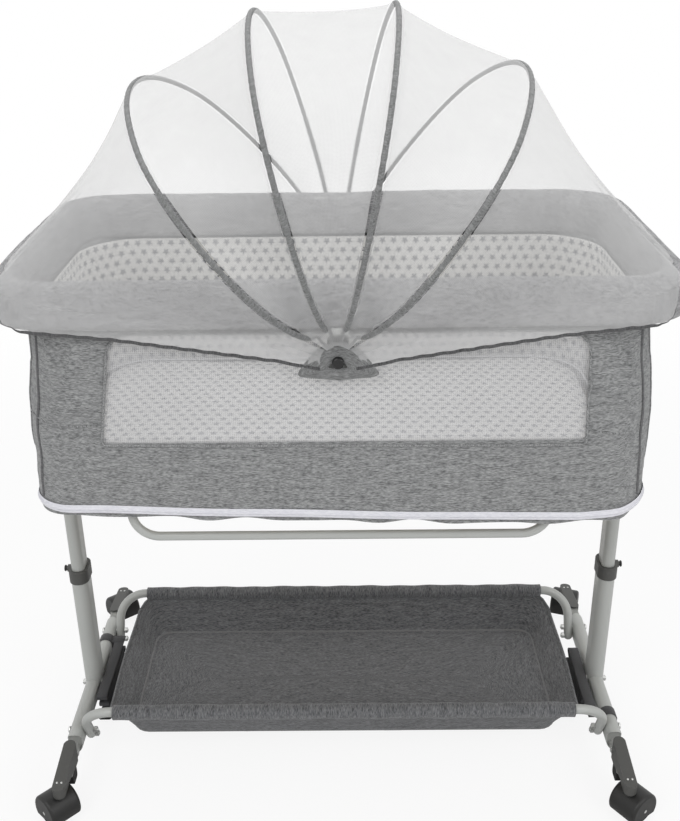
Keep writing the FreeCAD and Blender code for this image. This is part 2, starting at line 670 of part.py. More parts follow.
def foot_cap(corner, side_sign, end_sign):
    body = corner_body(f"foot_cap_{corner}", side_sign, end_sign)
    plug = outline(body, "XZ_Plane", "cap_plug_start")
    foot_section(plug, "0", "foot_wall")
    pad(body, plug, "cap_plug_end-cap_plug_start")
    neck = outline(body, "YZ_Plane")
    polygon(neck, [
        ("-cap_plug_start", "neck_low"),
        ("-cap_plug_start", "neck_high"),
        ("-pivot_y", "neck_high"),
        ("-pivot_y", "neck_low"),
    ])
    pad(body, neck, "tongue_width", symmetric=True)
    disc = outline(body, "YZ_Plane")
    circle(disc, "-pivot_y", "foot_z", "cap_radius")
    pad(body, disc, "tongue_width", symmetric=True)
    tongue = outline(body, "YZ_Plane")
    polygon(tongue, [
        ("-pivot_y", "tongue_low"),
        ("-tongue_end", "tongue_low"),
        ("-tongue_end", "tongue_end_top"),
        ("-(pivot_y+neck_shoulder)", "foot_z+neck_shoulder"),
        ("-pivot_y", "foot_z"),
    ])
    pad(body, tongue, "tongue_width", symmetric=True)
    hole = outline(body, "YZ_Plane")
    circle(hole, "-pivot_y", "foot_z", "pin_radius+running_clearance")
    pocket(body, hole)
    return body


def foot_pad(corner, side_sign, end_sign):
    body = corner_body(f"foot_pad_{corner}", side_sign, end_sign)
    side = outline(body, "YZ_Plane")
    rounded_box(side, "-pad_end", "-pad_start", "pad_bottom", "tongue_low", "pad_round", "1")
    pad(body, side, "tongue_width", symmetric=True)
    return body


def arm_pin(corner, side_sign, end_sign):
    body = corner_body(f"arm_pin_{corner}", side_sign, end_sign)
    shank = outline(body, "YZ_Plane")
    circle(shank, "-pivot_y", "foot_z", "pin_radius")
    pad(body, shank, "arm_width+2*seat_gap", symmetric=True)
    for way in (-1, 1):
        head = outline(body, "YZ_Plane", f"{way}*(arm_width/2+seat_gap)")
        circle(head, "-pivot_y", "foot_z", "pin_head_radius")
        pad(body, head, "pin_head_thickness", backward=way < 0)
    return body


def caster_arm(corner, side_sign, end_sign):
    body = corner_body(f"caster_arm_{corner}", side_sign, end_sign)
    side = outline(body, "YZ_Plane")
    polygon(side, [
        ("-arm_start", "arm_start_top"),
        ("-arm_end", "arm_end_top"),
        ("-arm_end", "boss_low"),
        ("-boss_start", "boss_low"),
        ("-cheek_rise_end", "cheek_high"),
        ("-cheek_turn", "cheek_low"),
        ("-arm_start", "cheek_low"),
    ])
    pad(body, side, "arm_width", symmetric=True)
    plan = outline(body, "XY_Plane")
    rounded_box(plan, "-arm_width", "arm_width", "-(arm_end+overcut)", "-(arm_start-overcut)", "1")
    slot(
        plan,
        ("0", "-(arm_start+arm_width/2)"),
        ("0", "-(arm_end-arm_width/2)"),
        "arm_width/2",
    )
    pocket(body, plan)
    fall = "(arm_start_top-arm_end_top)/(arm_end-arm_start)"
    channel = outline(body, "YZ_Plane")
    polygon(channel, [
        ("-(arm_start-overcut)", f"arm_start_top+overcut*{fall}-arm_web"),
        ("-boss_start", f"arm_start_top-(boss_start-arm_start)*{fall}-arm_web"),
        ("-boss_start", "cheek_low-overcut"),
        ("-(arm_start-overcut)", "cheek_low-overcut"),
    ])
    pocket(body, channel, "arm_gap", symmetric=True)
    hole = outline(body, "YZ_Plane")
    circle(hole, "-pivot_y", "foot_z", "pin_radius+running_clearance")
    pocket(body, hole)
    bore = outline(body, "XY_Plane")
    circle(bore, "0", "-swivel_y", "stem_radius+running_clearance")
    pocket(body, bore, "stem_bore_top", symmetric=False, backward=True)
    keep(body)


def caster_body(label, corner, side_sign, end_sign):
    """A body drawn with its swivel axis at the origin and its trail along X."""
    body = new_body(label)
    place(body, x=f"{side_sign}*leg_x", y=f"{end_sign}*swivel_y", angle=f"{corner}_turn")
    return body


def caster_hood(corner, side_sign, end_sign):
    body = caster_body(f"caster_hood_{corner}", corner, side_sign, end_sign)
    drum = outline(body, "XZ_Plane")
    circle(drum, "trail", "wheel_radius", "hood_radius")
    pad(body, drum, "2*hood_half_width", symmetric=True)
    base = outline(body, "XZ_Plane")
    rounded_box(base, "-hood_radius", "trail+hood_radius+overcut", "-overcut", "hood_low", "1")
    pocket(body, base)
    side = size("hood_half_width")
    round_edges(
        body,
        "hood_edge",
        lambda middle: abs(abs(middle.y) - side) < 0.01 and middle.z > size("hood_low") + 1,
    )
    for y in ("-hood_well_inner", "hood_well_outer"):
        well = outline(body, "XZ_Plane", y)
        circle(well, "trail", "wheel_radius", "hood_well_radius")
        pocket(body, well, "hood_well_outer-hood_well_inner", symmetric=False)
    boss = outline(body, "XY_Plane", "hood_boss_low")
    circle(boss, "0", "0", "hood_boss_radius")
    pad(body, boss, "hood_boss_top-hood_boss_low")
    stem = outline(body, "XY_Plane", "hood_boss_low")
    circle(stem, "0", "0", "stem_radius")
    pad(body, stem, "stem_top-hood_boss_low")
    hole = outline(body, "XZ_Plane")
    circle(hole, "trail", "wheel_radius", "axle_radius+running_clearance")
    pocket(body, hole)
    keep(body)


def caster_axle(corner, side_sign, end_sign):
    body = caster_body(f"caster_axle_{corner}", corner, side_sign, end_sign)
    rod = outline(body, "XZ_Plane")
    circle(rod, "trail", "wheel_radius", "axle_radius")
    pad(body, rod, "2*hood_half_width", symmetric=True)
    keep(body)


def caster_wheels(corner, side_sign, end_sign):
    pair = []
    edge_sides = [size("wheel_inner_side"), size("wheel_inner_side+wheel_width")]
    for name, y in (("a", "-wheel_inner_side"), ("b", "wheel_inner_side+wheel_width")):
        label = f"caster_wheel_{corner}_{name}"
        body = caster_body(label, corner, side_sign, end_sign)
        disc = outline(body, "XZ_Plane", y)
        circle(disc, "trail", "wheel_radius", "wheel_radius")
        circle(disc, "trail", "wheel_radius", "axle_radius+running_clearance")
        pad(body, disc, "wheel_width", backward=True)
        trail, radius = size("trail"), size("wheel_radius")
        round_edges(
            body,
            "wheel_edge",
            lambda middle: any(abs(abs(middle.y) - side) < 0.01 for side in edge_sides)
            and math.hypot(middle.x - trail, middle.z - radius) > radius - 1,
        )
        pair.append(body)
    group(f"caster_wheels_{corner}", pair)


# ---------------------------------------------------------------- basket and straps


def basket_tube(name, end_sign):
    """A tube across the crib whose ends bend down and in, drawn upright and then leaned."""
    body = new_body(f"basket_tube_{name}")
    place(
        body, y=f"{end_sign}*tube_y", z="tube_z", axis=AXIS_X, angle=f"{-end_sign}*tube_tilt"
    )
    end_x = "(leg_x-foot_width/2-tube_radius)"
    x, bend, drop = size(end_x), size("tube_bend"), size("tube_drop")
    spine = outline(body, "XZ_Plane")
    pieces = [
        Part.LineSegment(Vector(-x, -bend - drop, 0), Vector(-x, -bend, 0)),
        arc(-x + bend, -bend, bend, 90, 180),
        Part.LineSegment(Vector(-x + bend, 0, 0), Vector(x - bend, 0, 0)),
        arc(x - bend, -bend, bend, 0, 90),
        Part.LineSegment(Vector(x, -bend, 0), Vector(x, -bend - drop, 0)),
    ]
    for piece in pieces:
        spine.addGeometry(piece, False)
    u_constraints(spine, "tube_bend")
    pin_point(spine, 0, 1, f"-{end_x}", "-(tube_bend+tube_drop)")
    pin_point(spine, 4, 2, end_x, "-(tube_bend+tube_drop)")
    bind(spine, Sketcher.Constraint("DistanceY", -1, 1, 2, 1, 0.0), "0")
    profile = outline(body, "XY_Plane", "-(tube_bend+tube_drop)")
    circle(profile, f"-{end_x}", "0", "tube_radius")
    sweep(body, profile, spine)
    tip = size("-(tube_bend+tube_drop)")
    round_edges(body, "tube_tip", lambda middle: abs(middle.z - tip) < 0.01)
    holes = outline(body, "YZ_Plane")
    for step in (-1, 1):
        circle(
            holes,
            "0",
            f"-(tube_bend+tube_bolt_drop+({step})*tube_bolt_spacing/2)",
            "bolt_hole_radius",
        )
    pocket(body, holes)
    keep(body)


def bolt(label, sign, outward, y, z, grip):
    """A button-head bolt along X and its nut; the head is on the outward side or the inner."""
    head_side = sign if outward else -sign
    head_x = f"({sign}*leg_x+({head_side})*({grip[0]}))"
    shank = new_body(label)
    place(shank, x=head_x, y=y, z=z, axis=AXIS_Y, angle=f"{head_side}*90")
    head = outline(shank, "XY_Plane")
    circle(head, "0", "0", "bolt_head_radius")
    pad(shank, head, "bolt_head_height")
    top = size("bolt_head_height")
    round_edges(shank, "bolt_head_height/2", lambda middle: abs(middle.z - top) < 0.01)
    stem = outline(shank, "XY_Plane")
    circle(stem, "0", "0", "bolt_radius")
    pad(shank, stem, f"{grip[0]}+{grip[1]}+nut_height+bolt_end", backward=True)
    drive = outline(shank, "XY_Plane", "bolt_head_height")
    circle(drive, "0", "0", "bolt_drive_radius")
    pocket(shank, drive, "bolt_head_height/2", symmetric=False)
    nut = new_body(f"{label}_nut")
    nut_x = f"({sign}*leg_x-({head_side})*({grip[1]}))"
    place(nut, x=nut_x, y=y, z=z, axis=AXIS_Y, angle=f"{-head_side}*90")
    hexagon = outline(nut, "XY_Plane")
    polygon(hexagon, [
        (f"nut_radius*cos({angle})", f"nut_radius*sin({angle})") for angle in range(0, 360, 60)
    ])
    circle(hexagon, "0", "0", "bolt_radius+running_clearance")
    pad(nut, hexagon, "nut_height")
    return shank, nut


def frame_bolts():
    bolts = []
    for name, sign in LEFT_RIGHT:
        bolts.append(bolt(
            f"leg_bolt_{name}", sign, False, "leg_bolt_y", "leg_bolt_z",
            ("leg_width/2", "leg_width/2"),
        ))
        for way in (-1, 1):
            for y, z in bolt_places():
                bolts.append(bolt(
                    f"tube_bolt_{name}", sign, True, f"{way}*({y})", z,
                    ("foot_width/2", "(foot_width/2+2*tube_radius)"),
                ))
    group("frame_bolts", [shank for shank, nut in bolts])
    group("frame_nuts", [nut for shank, nut in bolts])


def storage_basket():
    body = new_body("storage_basket")
    levels = (
        ("basket_floor_z", "basket_floor_half_length", "basket_floor_half_depth"),
        ("basket_wall_top", "basket_top_half_length", "basket_top_half_depth"),
    )
    outside = []
    inside = []
    for z, half_length, half_depth in levels:
        sketch = outline(body, "XY_Plane", z)
        centred_box(sketch, half_length, half_depth, "basket_corner")
        outside.append(sketch)
    loft(body, "AdditiveLoft", outside)
    for z, half_length, half_depth in levels:
        sketch = outline(body, "XY_Plane", f"{z}+sleeve_cloth")
        centred_box(
            sketch,
            f"{half_length}-sleeve_cloth",
            f"{half_depth}-sleeve_cloth",
            "basket_corner-sleeve_cloth",
        )
        inside.append(sketch)
    loft(body, "SubtractiveLoft", inside)
    sag = outline(body, "YZ_Plane")
    circle(sag, "0", "flap_low+flap_sag_radius", "flap_sag_radius")
    pocket(body, sag)
    sleeve_radius = "tube_radius+seat_gap+sleeve_cloth"
    sleeves = outline(body, "YZ_Plane")
    for way in (-1, 1):
        circle(sleeves, f"{way}*tube_y", "tube_z", sleeve_radius)
    pad(body, sleeves, "2*sleeve_half_length", symmetric=True)
    bores = outline(body, "YZ_Plane")
    for way in (-1, 1):
        circle(bores, f"{way}*tube_y", "tube_z", "tube_radius+seat_gap")
    pocket(body, bores)
    keep(body)


def folded_webbing(x, near, far):
    """A strap folded to and fro between two places along Y, its layers one below another."""
    pitch = size("strap_pitch")
    half_pitch = Vector(0, 0, pitch / 2)
    z = size("strap_top_z")
    edges = []
    start, end = near, far
    layers = int(size("strap_layers"))
    for layer in range(layers):
        edges.append(Part.makeLine(Vector(x, start, z), Vector(x, end, z)))
        if layer < layers - 1:
            outward = math.copysign(pitch / 2, end - start)
            turn_middle = Vector(x, end + outward, z - pitch / 2)
            turn_end = Vector(x, end, z - pitch)
            edges.append(Part.Arc(Vector(x, end, z), turn_middle, turn_end).toShape())
        start, end = end, start
        z -= pitch
    half_width = Vector(size("webbing_width/2"), 0, 0)
    half_thickness = Vector(0, 0, size("webbing/2"))
    origin = edges[0].firstVertex().Point
    section = Part.makePolygon([
        origin - half_width - half_thickness,
        origin + half_width - half_thickness,
        origin + half_width + half_thickness,
        origin - half_width + half_thickness,
        origin - half_width - half_thickness,
    ])
    return Part.Wire(edges).makePipeShell([section], True, False)


def strap(name, sign):
    """The bed strap: a band round the foot tube, a tab and the folded length."""
    band_y = size(f"{name}_band_y")
    near = size(f"{name}_strap_near")
    far = size(f"{name}_strap_far")
    middle_x = sign * size("strap_outer_x-webbing_width/2")
    folds = folded_webbing(middle_x, near, far)
    band = new_body(f"strap_band_{name}")
    section = outline(band, "XZ_Plane", f"-({name}_band_y)")
    foot_section(section, f"{sign}*leg_x", "-(seat_gap+webbing)")
    foot_section(section, f"{sign}*leg_x", "-seat_gap")
    pad(band, section, "band_width", symmetric=True)
    inner_x = sign * size("strap_outer_x-webbing_width")
    foot_x = sign * size("leg_x-foot_width/2+1")
    tab_ends = (near, band_y)
    tab = Part.makeBox(
        abs(foot_x - inner_x),
        abs(tab_ends[1] - tab_ends[0]),
        size("webbing"),
        Vector(min(inner_x, foot_x), min(tab_ends), size("strap_top_z-webbing/2")),
    )
    tab = tab.cut(foot_core(sign))
    shape = band.Shape.fuse([folds, tab]).removeSplitter()
    shaped(f"strap_{name}", shape)


def foot_core(sign):
    """The space that the foot tube and its gap fill, along its whole length."""
    straight = size("(foot_height-foot_width)/2")
    radius = size("foot_width/2+seat_gap")
    x, z = sign * size("leg_x"), size("foot_z")
    length = size("2*foot_half_length")
    start = -length / 2
    low = Part.makeCylinder(radius, length, Vector(x, start, z - straight), AXIS_Y)
    high = Part.makeCylinder(radius, length, Vector(x, start, z + straight), AXIS_Y)
    middle = Part.makeBox(2 * radius, length, 2 * straight, Vector(x - radius, start, z - straight))
    return low.fuse([high, middle])


def strap_buckles():
    """A tri-glide on each strap's last layer: a plate with two slots."""
    members = []
    for name, sign in LEFT_RIGHT:
        body = new_body(f"strap_buckle_{name}")
        place(
            body,
            x=f"{sign}*(strap_outer_x-webbing_width/2)",
            y=f"{name}_strap_far-({sign})*buckle_shift",
            z="strap_top_z-strap_layers*strap_pitch+strap_pitch-webbing/2-buckle_thickness",
        )
        plate = outline(body, "XY_Plane")
        centred_box(plate, "buckle_width/2", "buckle_length/2", "buckle_bar")
        for way in (-1, 1):
            middle = f"{way}*(buckle_length-buckle_bar)/4"
            half = "(buckle_length/4-buckle_bar)"
            rounded_box(
                plate,
                "-(buckle_width/2-buckle_bar)",
                "buckle_width/2-buckle_bar",
                f"{middle}-{half}",
                f"{middle}+{half}",
                "1",
            )
        pad(body, plate, "buckle_thickness")
        members.append(body)
    group("strap_buckles", members)


for side_name, side_sign in LEFT_RIGHT:
    foot_tube(side_name, side_sign)
    outer_leg(side_name, side_sign)
    leg_collar(side_name, side_sign)
    height_button(side_name, side_sign)
group("foot_caps", [foot_cap(*corner) for corner in CORNERS])
group("foot_pads", [foot_pad(*corner) for corner in CORNERS])
group("arm_pins", [arm_pin(*corner) for corner in CORNERS])
for corner in CORNERS:
    caster_arm(*corner)
    caster_hood(*corner)
    caster_axle(*corner)
    caster_wheels(*corner)
for end_name, end_sign in FRONT_REAR:
    basket_tube(end_name, end_sign)
frame_bolts()
storage_basket()
for side_name, side_sign in LEFT_RIGHT:
    strap(side_name, side_sign)
strap_buckles()

# ---------------------------------------------------------------- cradle's frame


def inner_leg(name, sign):
    body = new_body(f"inner_leg_{name}")
    section = outline(body, "XY_Plane", "inner_leg_bottom")
    leg_section(section, sign, "inner_leg_width", "inner_leg_depth")
    leg_section(
        section,
        sign,
        "inner_leg_width-2*inner_leg_wall",
        "inner_leg_depth-2*inner_leg_wall",
    )
    pad(body, section, "rail_z-inner_leg_bottom")
    saddle = outline(body, "XZ_Plane")
    circle(saddle, f"{sign}*leg_x", "rail_z", "rail_radius")
    pocket(body, saddle)
    keep(body)


def inner_leg_glide(name, sign):
    """The plastic ring that guides the sliding leg inside the outer one."""
    body = new_body(f"inner_leg_glide_{name}")
    ring = outline(body, "XY_Plane", "inner_leg_bottom")
    inset = "2*(leg_wall+running_clearance)"
    leg_section(ring, sign, f"leg_width-{inset}", f"leg_depth-{inset}")
    leg_section(ring, sign, "inner_leg_width", "inner_leg_depth")
    pad(body, ring, "glide_height")
    return body


def rail_half(name, end_sign):
    """Half of the top rail: an open-ended U whose ends rest on the legs."""
    body = new_body(f"rail_half_{name}")
    place(body, z="rail_z", angle="0" if end_sign > 0 else "180")
    x, y, bend = size("leg_x"), size("rail_y"), size("rail_corner")
    spine = outline(body, "XY_Plane")
    pieces = [
        Part.LineSegment(Vector(-x, 0, 0), Vector(-x, y - bend, 0)),
        arc(-x + bend, y - bend, bend, 90, 180),
        Part.LineSegment(Vector(-x + bend, y, 0), Vector(x - bend, y, 0)),
        arc(x - bend, y - bend, bend, 0, 90),
        Part.LineSegment(Vector(x, y - bend, 0), Vector(x, 0, 0)),
    ]
    for piece in pieces:
        spine.addGeometry(piece, False)
    u_constraints(spine, "rail_corner")
    pin_point(spine, 0, 1, "-leg_x", "0")
    pin_point(spine, 4, 2, "leg_x", "0")
    bind(spine, Sketcher.Constraint("DistanceY", -1, 1, 2, 1, y), "rail_y")
    profile = outline(body, "XZ_Plane")
    circle(profile, "-leg_x", "0", "rail_radius")
    circle(profile, "-leg_x", "0", "rail_radius-rail_wall")
    sweep(body, profile, spine)
    return body


def rail_cover():
    """The padded rim: cloth over the rail, open below, its inner skirt the longer one."""
    body = new_body("rail_cover")
    outside = outline(body, "XY_Plane", "cover_inner_low")
    centred_box(outside, "cover_half_length", "cover_half_depth", "cover_corner")
    centred_box(outside, "mouth_half_length", "mouth_half_depth", "mouth_corner")
    pad(body, outside, "cover_top-cover_inner_low")
    channel = outline(body, "XY_Plane", "cover_inner_low")
    centred_box(
        channel,
        "cover_half_length-cover_cloth",
        "cover_half_depth-cover_cloth",
        "cover_corner-cover_cloth",
    )
    centred_box(
        channel,
        "mouth_half_length+cover_cloth",
        "mouth_half_depth+cover_cloth",
        "mouth_corner+cover_cloth",
    )
    pocket(
        body, channel, "cover_top-cover_cloth-cover_inner_low", symmetric=False, backward=True
    )
    inner_top = size("cover_top-cover_cloth")
    round_edges(
        body, "cover_edge-cover_cloth", lambda middle: abs(middle.z - inner_top) < 0.01
    )
    top = size("cover_top")
    round_edges(body, "cover_edge", lambda middle: abs(middle.z - top) < 0.01)
    trim = outline(body, "XY_Plane", "cover_inner_low")
    centred_box(
        trim, "cover_half_length+overcut", "cover_half_depth+overcut", "cover_corner+overcut"
    )
    centred_box(
        trim,
        "cover_half_length-cover_cloth",
        "cover_half_depth-cover_cloth",
        "cover_corner-cover_cloth",
    )
    pocket(body, trim, "cover_outer_low-cover_inner_low", symmetric=False, backward=True)
    keep(body)


# ---------------------------------------------------------------- bassinet


def window_outline(sketch, inset):
    rounded_box(
        sketch,
        f"-(window_half_length-({inset}))",
        f"window_half_length-({inset})",
        f"window_low+({inset})",
        f"window_high-({inset})",
        "window_low_corner",
        "window_high_corner",
    )


def cut_window(body, depth):
    """Open the front window through whatever stands at the front wall."""
    window = outline(body, "XZ_Plane", "wall_half_depth+overcut")
    window_outline(window, "0")
    pocket(body, window, depth, symmetric=False)


def side_fabric():
    body = new_body("side_fabric")
    outside = outline(body, "XY_Plane", "wall_low")
    centred_box(outside, "wall_half_length", "wall_half_depth", "wall_corner")
    pad(body, outside, "wall_top-wall_low")
    inside = outline(body, "XY_Plane", "wall_low+wall_cloth")
    centred_box(
        inside,
        "wall_half_length-wall_cloth",
        "wall_half_depth-wall_cloth",
        "wall_corner-wall_cloth",
    )
    pocket(body, inside, "wall_top-wall_low", symmetric=False, backward=True)
    cut_window(body, "cut_depth")
    keep(body)


def mesh_window():
    """The window's net: one sheet with a grid of openings."""
    border = size("mesh_border")
    thread = size("mesh_thread")
    half_length = size("window_half_length-seat_gap")
    low = size("window_low+seat_gap")
    high = size("window_high-seat_gap")
    columns = int(size("mesh_columns"))
    rows = int(size("mesh_rows"))
    y = -size("wall_half_depth-wall_cloth/2-mesh_thickness/2")
    body = new_body("mesh_sheet")
    sheet_outline = outline(body, "XZ_Plane", "wall_half_depth-wall_cloth/2")
    window_outline(sheet_outline, "seat_gap")
    pad(body, sheet_outline, "mesh_thickness", symmetric=True)
    pitch_x = (2 * half_length - 2 * border) / columns
    pitch_z = (high - low - 2 * border) / rows
    corner = size("window_high_corner")
    openings = []
    for column in range(columns):
        for row in range(rows):
            x = -half_length + border + column * pitch_x + thread / 2
            z = low + border + row * pitch_z + thread / 2
            far_x = max(abs(x), abs(x + pitch_x - thread)) - (half_length - corner)
            far_z = z + pitch_z - thread - (high - corner)
            if far_x > 0 and far_z > 0 and math.hypot(far_x, far_z) > corner - border:
                continue
            openings.append(Part.makeBox(
                pitch_x - thread, 4 * size("mesh_thickness"), pitch_z - thread,
                Vector(x, y - 2 * size("mesh_thickness"), z),
            ))
    shaped("mesh_window", body.Shape.cut(Part.makeCompound(openings)))


def liner():
    body = new_body("liner")
    levels = (
        ("liner_low", "liner_low_half_length", "liner_low_half_depth"),
        ("liner_top", "liner_top_half_length", "liner_top_half_depth"),
    )
    for kind, inset in (("AdditiveLoft", "0"), ("SubtractiveLoft", "liner_cloth")):
        sections = []
        for z, half_length, half_depth in levels:
            sketch = outline(body, "XY_Plane", z)
            centred_box(
                sketch,
                f"{half_length}-{inset}",
                f"{half_depth}-{inset}",
                f"liner_corner-{inset}",
            )
            sections.append(sketch)
        loft(body, kind, sections)
    window = outline(body, "XZ_Plane", "wall_half_depth+overcut")
    rounded_box(
        window,
        "-window_half_length",
        "window_half_length",
        "window_low",
        "liner_window_high",
        "window_low_corner",
        "window_high_corner",
    )
    pocket(body, window, "cut_depth", symmetric=False)
    keep(body)


def base_board():
    body = new_body("base_board")
    plan = outline(body, "XY_Plane", "wall_low+wall_cloth+seat_gap")
    centred_box(plan, "board_half_length", "board_half_depth", "board_corner")
    pad(body, plan, "board_thickness-seat_gap")
    keep(body)


def mattress():
    """A cushion: sides drawn in at the seams and a crowned top."""
    body = new_body("mattress")
    levels = (
        ("mattress_low", "mattress_draw"),
        ("mattress_low+mattress_draw", "0"),
        ("mattress_side_top-mattress_draw", "0"),
        ("mattress_side_top", "mattress_draw"),
        ("mattress_side_top+mattress_swell", "mattress_shoulder"),
        ("mattress_crown", "mattress_flat"),
    )
    sections = []
    for z, inset in levels:
        sketch = outline(body, "XY_Plane", z)
        corner = f"max(mattress_corner-({inset}); 2*mattress_draw)"
        centred_box(sketch, f"mattress_half_length-({inset})",
                    f"mattress_half_depth-({inset})", corner)
        sections.append(sketch)
    loft(body, "AdditiveLoft", sections)
    body.Tip.Ruled = True
    document.recompute()
    keep(body)


def zip_tape():
    body = new_body("zip_tape")
    ring = outline(body, "XY_Plane", "tape_low")
    for gap in ("seat_gap+tape_thickness", "seat_gap"):
        centred_box(
            ring,
            f"wall_half_length+{gap}",
            f"wall_half_depth+{gap}",
            f"wall_corner+{gap}",
        )
    pad(body, ring, "tape_high-tape_low")
    keep(body)


def drop_side_zips():
    """Two upright strips round the front corners."""
    members = []
    for name, sign in LEFT_RIGHT:
        body = new_body(f"drop_side_zip_{name}")
        place(
            body,
            x=f"{sign}*(wall_half_length-wall_corner)",
            y="-(wall_half_depth-wall_corner)",
            z="zip_low",
            angle=f"-90+({sign})*zip_angle",
        )
        inner = size("wall_corner+seat_gap")
        outer = inner + size("zip_thickness")
        spread = size("zip_spread")
        half = math.radians(spread / 2)
        strip = outline(body, "XY_Plane")
        strip.addGeometry(arc(0, 0, outer, -spread / 2, spread / 2), False)
        strip.addGeometry(arc(0, 0, inner, -spread / 2, spread / 2), False)
        for way in (-1, 1):
            direction = Vector(math.cos(half), way * math.sin(half), 0)
            strip.addGeometry(Part.LineSegment(direction * inner, direction * outer), False)
        for index in (0, 1):
            strip.addConstraint(Sketcher.Constraint("Coincident", index, 3, -1, 1))
        for line, point in ((2, 1), (3, 2)):
            strip.addConstraint(Sketcher.Constraint("Coincident", line, 1, 1, point))
            strip.addConstraint(Sketcher.Constraint("Coincident", line, 2, 0, point))
        bind(strip, Sketcher.Constraint("Radius", 0, outer), "wall_corner+seat_gap+zip_thickness")
        bind(strip, Sketcher.Constraint("Radius", 1, inner), "wall_corner+seat_gap")
        for line, way in ((2, -1), (3, 1)):
            for point, reach in ((1, "wall_corner+seat_gap"),
                                 (2, "wall_corner+seat_gap+zip_thickness")):
                bind(
                    strip,
                    Sketcher.Constraint("DistanceY", -1, 1, line, point, 0.0),
                    f"{way}*({reach})*sin(zip_spread/2)",
                )
        pad(body, strip, "wall_top-zip_low")
        members.append(body)
    group("drop_side_zips", members)


def support_hoop():
    """The bent tube under the bassinet's front edge."""
    body = new_body("support_hoop")
    place(body, y="hoop_y", z="wall_low")
    x, bend = size("hoop_half_length"), size("hoop_bend")
    depth = size("wall_low-hoop_z")
    spine = outline(body, "XZ_Plane")
    pieces = [
        Part.LineSegment(Vector(-x, 0, 0), Vector(-x, bend - depth, 0)),
        arc(-x + bend, bend - depth, bend, 180, 270),
        Part.LineSegment(Vector(-x + bend, -depth, 0), Vector(x - bend, -depth, 0)),
        arc(x - bend, bend - depth, bend, 270, 360),
        Part.LineSegment(Vector(x, bend - depth, 0), Vector(x, 0, 0)),
    ]
    for piece in pieces:
        spine.addGeometry(piece, False)
    u_constraints(spine, "hoop_bend", turning_left=True)
    pin_point(spine, 0, 1, "-hoop_half_length", "0")
    pin_point(spine, 4, 2, "hoop_half_length", "0")
    bind(spine, Sketcher.Constraint("DistanceY", -1, 1, 2, 1, -depth), "hoop_z-wall_low")
    profile = outline(body, "XY_Plane")
    circle(profile, "-hoop_half_length", "0", "hoop_radius")
    circle(profile, "-hoop_half_length", "0", "hoop_radius-hoop_wall")
    sweep(body, profile, spine)
    keep(body)


# ---------------------------------------------------------------- canopy


def hub_body(label, end_sign):
    """A body drawn for the front of the crib and turned half round for the rear."""
    body = new_body(label)
    place(body, angle="0" if end_sign < 0 else "180")
    return body


def hub_bracket(name, end_sign):
    """A steel strap that hooks round the rail and hangs down to the canopy's pivot."""
    body = hub_body(f"hub_bracket_{name}", end_sign)
    strap_plate = outline(body, "YZ_Plane")
    rounded_box(
        strap_plate,
        "-(bracket_inner_y+bracket_thickness)",
        "-bracket_inner_y",
        "bracket_low",
        "bracket_hook_low",
        "bracket_thickness/4",
    )
    pad(body, strap_plate, "bracket_width", symmetric=True)
    hook = outline(body, "YZ_Plane")
    circle(hook, "-rail_y", "rail_z", "rail_radius+bracket_thickness")
    pad(body, hook, "bracket_width", symmetric=True)
    upper = outline(body, "YZ_Plane")
    reach = "(rail_radius+bracket_thickness+overcut)"
    rounded_box(
        upper,
        f"-(rail_y+{reach})",
        f"-(rail_y-{reach})",
        "bracket_hook_low",
        f"rail_z+{reach}",
        "1",
    )
    pocket(body, upper)
    bore = outline(body, "YZ_Plane")
    circle(bore, "-rail_y", "rail_z", "rail_radius")
    pocket(body, bore)
    return body


def hub_knob(name, end_sign):
    """The pivot stud with its shoulder and the round knob on its end."""
    body = hub_body(f"hub_knob_{name}", end_sign)
    knob_start = "patch_start+patch_thickness+seat_gap"
    steps = (
        ("bracket_inner_y+bracket_thickness", "shoulder_end", "shoulder_radius"),
        ("bracket_inner_y+bracket_thickness", knob_start, "stud_radius"),
        (knob_start, f"{knob_start}+knob_length", "knob_radius"),
    )
    for start, end, radius in steps:
        disc = outline(body, "XZ_Plane", start)
        circle(disc, "0", "hub_z", radius)
        pad(body, disc, f"({end})-({start})")
    face = -size(f"{knob_start}+knob_length")
    round_edges(body, "knob_edge", lambda middle: abs(middle.y - face) < 0.01)
    return body


def hub_patch(name, end_sign):
    body = hub_body(f"hub_patch_{name}", end_sign)
    plan = outline(body, "XZ_Plane", "patch_start")
    polygon(plan, [
        ("-patch_half_length", "patch_tip_z"),
        ("0", "patch_low"),
        ("patch_half_length", "patch_tip_z"),
        ("patch_top_half_length", "patch_high"),
        ("-patch_top_half_length", "patch_high"),
    ])
    pad(body, plan, "patch_thickness")
    hole = outline(body, "XZ_Plane")
    circle(hole, "0", "hub_z", "stud_radius+seat_gap")
    pocket(body, hole)
    return body


